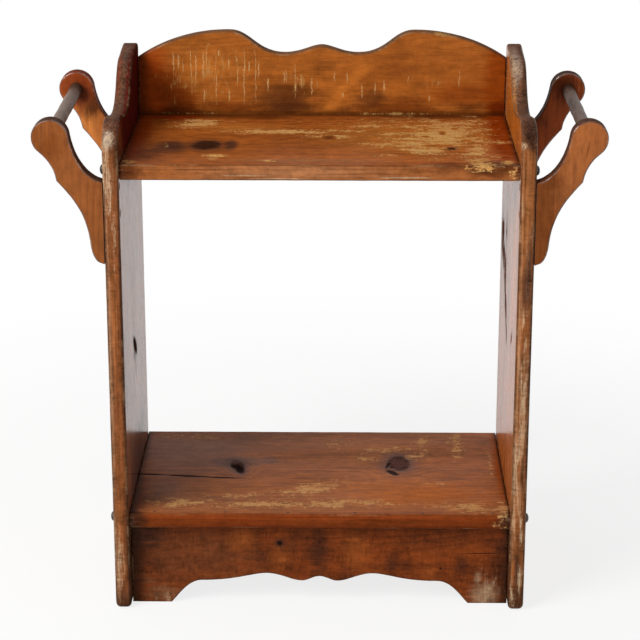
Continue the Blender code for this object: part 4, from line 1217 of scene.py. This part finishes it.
armLook = {
    "order": "ZXY", "sheen": 0.10, "edgeTone": (0.050, 0.021, 0.013), "edgeDepth": 0.95, "edgeDull": 0.85,
    "endTone": (0.052, 0.024, 0.016), "endDepth": 0.8, "fleckDepth": 0.2, "arrisDepth": 0.45,
    # the pale arris rubs also paint the highlights on the knobs
    "rubAndHighlightDepth": 0.5, "arrisTone": (0.060, 0.022, 0.011), "rubAndHighlightTone": (0.50, 0.27, 0.14),
    "smearTone": (0.030, 0.008, 0.004), "mottle": 0.7, "craze": 0.2, "speck": 0.5, "fibreDepth": 0.32,
    "bandDepth": 0.3, "poreDepth": 0.2, "grimeDepth": 0.15, "arrisGloss": 0.8,
}
armTones = {  # pale and dark wood of each arm, and its marks
    "left_front": {
        "early": (0.28, 0.084, 0.019), "late": (0.155, 0.042, 0.010), "seed": 21,
        "smearTone": (0.17, 0.044, 0.008), "bandDepth": 0.2,
        "smears": [(knobZ - 0.010, 0.002 - knobX, 0.040, 0.036, 0, 0.75)],
    },
    "left_rear": {
        "early": (0.65, 0.225, 0.050), "late": (0.37, 0.110, 0.023), "seed": 22,
        "glowTone": (0.195, 0.027, 0.005), "glowDepth": 0.9,
        "glows": [(knobZ + 0.006, 0.004 - knobX, 0.028, 0.030, 0, 1.5)],
        # painted shadow under the bar's socket and below the knob
        "smears": [(knobZ - 0.006, 0.004 - knobX, 0.016, 0.014, 0, 1.2),
                   (knobZ - 0.026, 0.018 - knobX, 0.020, 0.014, 30, 0.9)],
    },
    "right_front": {
        "early": (0.40, 0.123, 0.031), "late": (0.21, 0.059, 0.015), "seed": 23,
        "smearTone": (0.112, 0.027, 0.005),
        "smears": [(knobZ - 0.012, knobX - 0.002, 0.016, 0.002, 8, 0.8),
                   (knobZ - 0.002, knobX + 0.006, 0.010, 0.0015, 0, 0.7),
                   # the last two smears are painted shade: down the root beside the panel and in the hollow
                   # under the knob
                   (knobZ - 0.115, knobX - 0.062, 0.090, 0.024, 0, 1.5),
                   (knobZ - 0.052, knobX - 0.052, 0.016, 0.020, 0, 1.3)],
    },
    "right_rear": {
        "early": (0.33, 0.065, 0.011), "late": (0.17, 0.030, 0.006), "seed": 24,
        # painted shadow round the bar's socket and below it
        "smears": [(knobZ + 0.004, knobX - 0.004, 0.022, 0.020, 0, 1.3),
                   (knobZ - 0.040, knobX - 0.030, 0.050, 0.018, -30, 0.5)],
    },
}
for sideName, side in bothSides:
    for endName, end in bothEnds:
        node = sideName + "_" + endName + "_towel_arm"
        title = sideName + endName.capitalize() + "TowelArm"
        low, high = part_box(node)
        root = low.x if side > 0 else -high.x
        radius, depth = armShape["socketRadius"], armShape["socketDepth"]
        socket = {"side": -end, "centre": (side * knobX, knobZ), "profile": [(radius, 0), (radius, depth)]}
        look = {**armLook, **armTones[sideName + "_" + endName], "face": low.y,
                "pith": (0.5, side * 0.30, (low.y + high.y) / 2 + 0.05)}
        mesh = boardMesh(title, armOutline(armShape, root) * (side, 1), "Y", low.y, high.y,
                         rootedArris(armShape, look["seed"], root), (0, 1), [socket], armShape["spacing"])
        addPiece(title, mesh, pineFinish(title + "Pine", look), stands=[node])
print("towel arms")

# Towel bars: dowels with a little waviness, loose in their sockets.
barShape = {
    "radius": 0.0079375, "chamfer": 0.001, "rings": 90, "sides": 48,
    "wave": 0.00012, "waves": (61, 143),    # height of the waves, and how fast they turn along the bar
    "calm": (0.03, 0.6),                    # length over which they die out, and the share left straight
}
barLook = {
    "order": "YXZ", "early": (0.18, 0.113, 0.078), "late": (0.090, 0.050, 0.033),
    "stain": (0.08, 0.042, 0.028), "sheen": 0.12, "ringStep": 0.0025, "pith": (0.0, 0.30, 0.62),
    "roughness": 0.42, "stainDepth": 0.5, "smearTone": (0.035, 0.017, 0.010),
}
barTones = {
    # a smear at the rear end paints the shade where the bar enters its arm
    "left": {"smears": [(0.118, -knobX, 0.045, 0.06, 0, 1.0, knobZ, 0.06)], "seed": 29},
    "right": {
        "early": (0.120, 0.064, 0.041), "late": (0.062, 0.030, 0.019), "seed": 31,
        # the first smear paints the shade where the bar enters its arm
        "smears": [(0.118, knobX, 0.045, 0.06, 0, 1.0, knobZ, 0.06),
                   (0.030, knobX - 0.006, 0.060, 0.007, 0, 0.9, knobZ + 0.004, 0.010)],
    },
}
for sideName, side in bothSides:
    node, title = sideName + "_towel_bar", sideName + "TowelBar"
    low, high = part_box(node)
    half = (high.y - low.y) / 2
    radius, chamfer = barShape["radius"], barShape["chamfer"]
    along = np.linspace(chamfer - half, half - chamfer, barShape["rings"])
    # radius along the bar: plain, with two slow waves that die out at the sockets
    calm = np.clip((half - np.abs(along)) / barShape["calm"][0] - barShape["calm"][1], 0, 1)
    slow, quick = barShape["waves"]
    swell = radius + barShape["wave"] * calm * (np.sin(slow * along + side) + np.sin(quick * along))
    profile = np.vstack([[(0, -half), (radius - chamfer, -half)], np.stack([swell, along], 1),
                         [(radius - chamfer, half), (0, half)]])
    place = aimed((side * knobX, (low.y + high.y) / 2, knobZ), (0, 1, 0))
    mesh = joinedMesh(title, [turnedSurface(profile, place, barShape["sides"])])
    finish = pineFinish(sideName + "BarWood", {**barLook, **barTones[sideName]})
    addPiece(title, mesh, finish, sideName + "_bar", [node])
print("towel bars")

# Glue blocks: raw three-cornered pine behind the apron.
blockShape = {"arris": 0.0004, "arrisSeed": 61, "spacing": 0.004}
blockLook = {
    "order": "XYZ", "early": (0.52, 0.36, 0.20), "late": (0.36, 0.22, 0.10), "stain": (0.30, 0.20, 0.11),
    "stainDepth": 0.35, "roughness": 0.75, "sheen": 0.3, "edgeDepth": 0.1, "endDepth": 0.2, "seed": 40,
}
for sideName in ("left", "right"):
    node, title = sideName + "_glue_block", sideName + "GlueBlock"
    low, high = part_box(node)
    outline = np.array([(low.y, high.z), (low.y, low.z), (high.y, high.z)])
    radii = wornArris(blockShape["arris"], blockShape["arrisSeed"])
    mesh = boardMesh(title, outline, "X", low.x, high.x, radii, (0, 0), spacing=blockShape["spacing"])
    addPiece(title, mesh, pineFinish(sideName + "BlockPine", blockLook), stands=[node])
print("glue blocks")

# Fasteners: domed plugs, slotted screws and the shelf's nail heads.
plugShape = {
    "tenon": 0.0044, "depth": 0.0048, "cap": 0.006, "lipIn": 0.0003, "lipRise": 0.0004,
    "rim": 0.0012, "height": 0.0045, "domeSteps": 12, "sides": 36,
}
plugLook = {"dark": (0.022, 0.011, 0.007), "pale": (0.075, 0.038, 0.022), "streak": (300.0, 900.0, 300.0)}
screwShape = {
    "head": 0.00425, "rim": 0.0005, "brim": 0.00012, "brimIn": 0.00015, "cone": 0.003, "shank": 0.0021,
    "point": 0.006, "slotWidth": 0.0011, "slotDepth": 0.0009, "sides": 28, "landSteps": 15, "crease": 30,
}
armScrewTurns = {"upper": 0.7, "lower": 2.1}  # how far each slot is turned, in radians
splashScrewTurns = {"left": 0.4, "middle": 1.3, "right": 2.6}
nailShape = {
    "radius": 0.0017, "crown": 0.0003, "sunk": 0.003, "brim": 0.0002, "sides": 16,
    "places": [(-0.204, -0.130), (-0.116, -0.131), (-0.039, -0.132),
               (0.044, -0.131), (0.1275, -0.132), (0.214, -0.132)],
}
steelLooks = {  # bright and rusted steel
    "screwSteel": ((0.070, 0.060, 0.054), (0.036, 0.017, 0.010)),
    "nailSteel": ((0.040, 0.030, 0.026), (0.020, 0.010, 0.007)),
}


def plugFinish(name, look):
    # dark stained wood, streaked brown-black
    material, tree, shader, place = newFinish(name)
    streak = speckle(tree, place, look["streak"], 3.0, 0.6)
    colour = lay(tree, look["dark"], look["pale"], ramp(tree, streak, 0.4, 0.75))
    tree.links.new(colour, shader.inputs["Base Color"])
    tree.links.new(ramp(tree, streak, 0.2, 0.8, 0.28, 0.5), shader.inputs["Roughness"])
    bumped(tree, shader, 0.3, 0.0003, streak)
    return material


def steelFinish(name, bright, rust):
    # dull steel with brown rust in patches
    material, tree, shader, place = newFinish(name)
    patch = speckle(tree, place, (420.0, 420.0, 420.0), 4.0, 0.65)
    grit = speckle(tree, place, (2600.0, 2600.0, 2600.0), 2.0, 0.5)
    rusty = ramp(tree, patch, 0.42, 0.62)
    tree.links.new(lay(tree, bright, rust, rusty), shader.inputs["Base Color"])
    tree.links.new(ramp(tree, rusty, 0.0, 1.0, 0.9, 0.15), shader.inputs["Metallic"])
    tree.links.new(ramp(tree, patch, 0.3, 0.7, 0.38, 0.75), shader.inputs["Roughness"])
    bumped(tree, shader, 0.35, 0.0002, grit)
    return material


def plugParts(shape, place):
    # tenon, a lip and a dome whose radius falls as the cosine while its height grows as the sine
    turn = np.linspace(0, math.pi / 2, shape["domeSteps"])[:-1]
    tenon, depth, cap = shape["tenon"], shape["depth"], shape["cap"]
    crown = shape["height"] - shape["rim"]
    rim = depth + shape["rim"]
    dome = np.stack([cap * np.cos(turn), rim + crown * np.sin(turn)], 1)
    lip = [(cap - shape["lipIn"], depth), (cap, depth + shape["lipRise"])]
    stem = [(0, 0), (tenon, 0), (tenon, depth), *lip]
    return [turnedSurface(np.vstack([stem, dome, [(0, rim + crown)]]), place, shape["sides"])]


def screwParts(shape, place, length, turn):
    # a turned countersunk screw whose head carries two half-moon lands with the slot between them
    floor, head, shank = shape["slotDepth"], shape["head"], shape["shank"]
    slope = (head - shank) / (shape["cone"] - shape["rim"])
    under = head - slope * (floor - shape["rim"])
    body = [(0, floor), (under, floor), (shank, shape["cone"]), (shank, length - shape["point"]), (0, length)]
    parts = [turnedSurface(body, place, shape["sides"])]
    # rings of a land: foot, shoulder, rounded brim and crown
    rings = [(under, floor), (head, shape["rim"]), (head, shape["brim"]), (head - shape["brimIn"], 0.0)]
    spun = place @ Matrix.Rotation(turn, 4, "Z")
    chord = math.asin(shape["slotWidth"] / 2 / head)
    for half in (0, math.pi):
        angle = np.linspace(half + chord, half + math.pi - chord, shape["landSteps"])
        ring = np.stack([np.cos(angle), np.sin(angle)], 1)
        points = np.vstack([np.column_stack([ring * r, np.full(len(ring), z)]) for r, z in rings])
        faces = ringQuads(len(rings), len(ring)).tolist()
        faces.append(list(range(len(ring))))
        faces.append(list(range(len(points) - len(ring), len(points))))
        parts.append((putAt(points, spun), faces))
    return parts


plugWood = plugFinish("plugWood", plugLook)
screwSteel, nailSteel = (steelFinish(name, *tones) for name, tones in steelLooks.items())


def addScrew(node, title, head, direction, length, turn):
    parts = screwParts(screwShape, aimed(head, direction), length, turn)
    mesh = joinedMesh(title, parts, screwShape["crease"])
    addPiece(title, mesh, screwSteel, stands=[node])


for sideName, side in bothSides:
    for shelfName in ("top", "lower"):
        for endName in ("front", "rear"):
            node = f"{sideName}_{shelfName}_shelf_plug_{endName}"
            title = f"{sideName}{shelfName.capitalize()}{endName.capitalize()}Plug"
            low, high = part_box(node)
            middle = (low + high) / 2
            foot = low.x if side > 0 else high.x
            parts = plugParts(plugShape, aimed((foot, middle.y, middle.z), (side, 0, 0)))
            addPiece(title, joinedMesh(title, parts), plugWood, stands=[node])
            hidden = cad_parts[f"{sideName}_{shelfName}_shelf_screw_{endName}"]
            hidden.data.materials.clear()
            hidden.data.materials.append(screwSteel)
    for endName in ("front", "rear"):
        for row, turn in armScrewTurns.items():
            node = f"{sideName}_{endName}_arm_screw_{row}"
            low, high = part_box(node)
            middle = (low + high) / 2
            head = (low.x if side > 0 else high.x, middle.y, middle.z)
            addScrew(node, f"{sideName}{endName.capitalize()}ArmScrew{row.capitalize()}", head,
                     (side, 0, 0), high.x - low.x, turn + side)
for name, turn in splashScrewTurns.items():
    low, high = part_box("splash_screw_" + name)
    middle = (low + high) / 2
    addScrew("splash_screw_" + name, "splashScrew" + name.capitalize(), (middle.x, high.y, middle.z),
             (0, -1, 0), high.y - low.y, turn)

# a nail head: a tapered shank, a brim just under the face and a low crown
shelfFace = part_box("lower_shelf")[1].z
radius, crown, sunk = nailShape["radius"], nailShape["crown"], nailShape["sunk"]
profile = [(0, -sunk), (radius * 0.8, -sunk), (radius, -nailShape["brim"]), (radius * 0.9, crown * 0.5),
           (radius * 0.5, crown * 0.9), (0, crown)]
nails = [turnedSurface(profile, aimed((x, y, shelfFace), (0, 0, 1)), nailShape["sides"])
         for x, y in nailShape["places"]]
addPiece("shelfNails", joinedMesh("shelfNails", nails), nailSteel)
print("fasteners")

# Floor, light and camera.
stageLook = {
    "floorTone": (0.90, 0.895, 0.885), "reach": 6.0,
    "veil": 0.80, "veilReach": (0.35, 1.3),         # share of white over the floor, and where it becomes full
    "ambient": 0.34, "ambientBack": 0.55, "ambientTurn": (0.1, 0.9),
}
lamps = {  # place, target, width and height, power
    "key": ((-1.9, -1.7, 2.1), (0, 0, 0.35), (1.6, 1.6), 85),
    "fill": ((0.8, -3.0, 1.2), (0, 0, 0.35), (1.8, 1.8), 12),
}
viewpoint = {"place": (0.0297, -2.6127, 1.2023), "turn": (71.611, 0.0, 0.672), "lens": 122.75, "sensor": 36}
white = (1.0, 1.0, 1.0, 1.0)


def whiteRays(tree):
    # 1 for rays from the camera and rays that reflect or pass through
    path = addNode(tree, "ShaderNodeLightPath", {})
    seen = calc(tree, "MAXIMUM", path.outputs["Is Camera Ray"], path.outputs["Is Glossy Ray"])
    return calc(tree, "MAXIMUM", seen, path.outputs["Is Transmission Ray"])


def floorFinish(look):
    # pale floor that shows white to the camera and keeps a soft part of the shadow
    material, tree, shader, place = newFinish("paleFloor")
    tree.nodes.remove(shader)
    paint = addNode(tree, "ShaderNodeBsdfDiffuse", {"Color": (*look["floorTone"], 1.0)})
    glow = addNode(tree, "ShaderNodeEmission", {"Color": white, "Strength": 1.0})
    veil = ramp(tree, farness(tree, place), *look["veilReach"], look["veil"], 1.0)
    share = calc(tree, "MULTIPLY", veil, whiteRays(tree))
    mix = addNode(tree, "ShaderNodeMixShader", {0: share, 1: paint.outputs[0], 2: glow.outputs[0]})
    tree.links.new(mix.outputs[0], tree.nodes["Material Output"].inputs["Surface"])
    return material


def studioWorld(look):
    # white to the camera and to reflections, a calm light to everything else, fuller from behind
    world = bpy.data.worlds.new("studio")
    bpy.context.scene.world = world
    world.use_nodes = True
    tree = world.node_tree
    tree.nodes.clear()
    out = tree.nodes.new("ShaderNodeOutputWorld")
    way = addNode(tree, "ShaderNodeTexCoord", {}).outputs["Generated"]
    back = addNode(tree, "ShaderNodeSeparateXYZ", {0: way}).outputs["Y"]
    ambient = ramp(tree, back, *look["ambientTurn"], look["ambient"], look["ambientBack"])
    calm = addNode(tree, "ShaderNodeBackground", {"Color": white, "Strength": ambient})
    plain = addNode(tree, "ShaderNodeBackground", {"Color": white, "Strength": 1.0})
    mix = addNode(tree, "ShaderNodeMixShader", {0: whiteRays(tree), 1: calm.outputs[0], 2: plain.outputs[0]})
    tree.links.new(mix.outputs[0], out.inputs["Surface"])


def softLight(name, place, target, size, power):
    lamp = bpy.data.lights.new(name, "AREA")
    lamp.shape = "RECTANGLE"
    lamp.size, lamp.size_y = size
    lamp.energy = power
    holder = bpy.data.objects.new(name, lamp)
    holder.location = place
    holder.rotation_euler = (Vector(target) - Vector(place)).to_track_quat("-Z", "Y").to_euler()
    bpy.context.scene.collection.objects.link(holder)


reach = stageLook["reach"]
corners = [(-reach, -reach, 0), (reach, -reach, 0), (reach, reach, 0), (-reach, reach, 0)]
floorMesh = bpy.data.meshes.new("floor")
floorMesh.from_pydata(corners, [], [(0, 1, 2, 3)])
floorMesh.materials.append(floorFinish(stageLook))
floor = bpy.data.objects.new("floor", floorMesh)
bpy.context.scene.collection.objects.link(floor)
studioWorld(stageLook)
for name, values in lamps.items():
    softLight(name, *values)

cameraData = bpy.data.cameras.new("camera")
cameraData.sensor_width = viewpoint["sensor"]
cameraData.lens = viewpoint["lens"]
camera = bpy.data.objects.new("camera", cameraData)
camera.location = viewpoint["place"]
camera.rotation_euler = tuple(math.radians(angle) for angle in viewpoint["turn"])
bpy.context.scene.collection.objects.link(camera)
bpy.context.scene.camera = camera
bpy.context.scene.view_settings.view_transform = "Standard"
print("stage, light and camera")
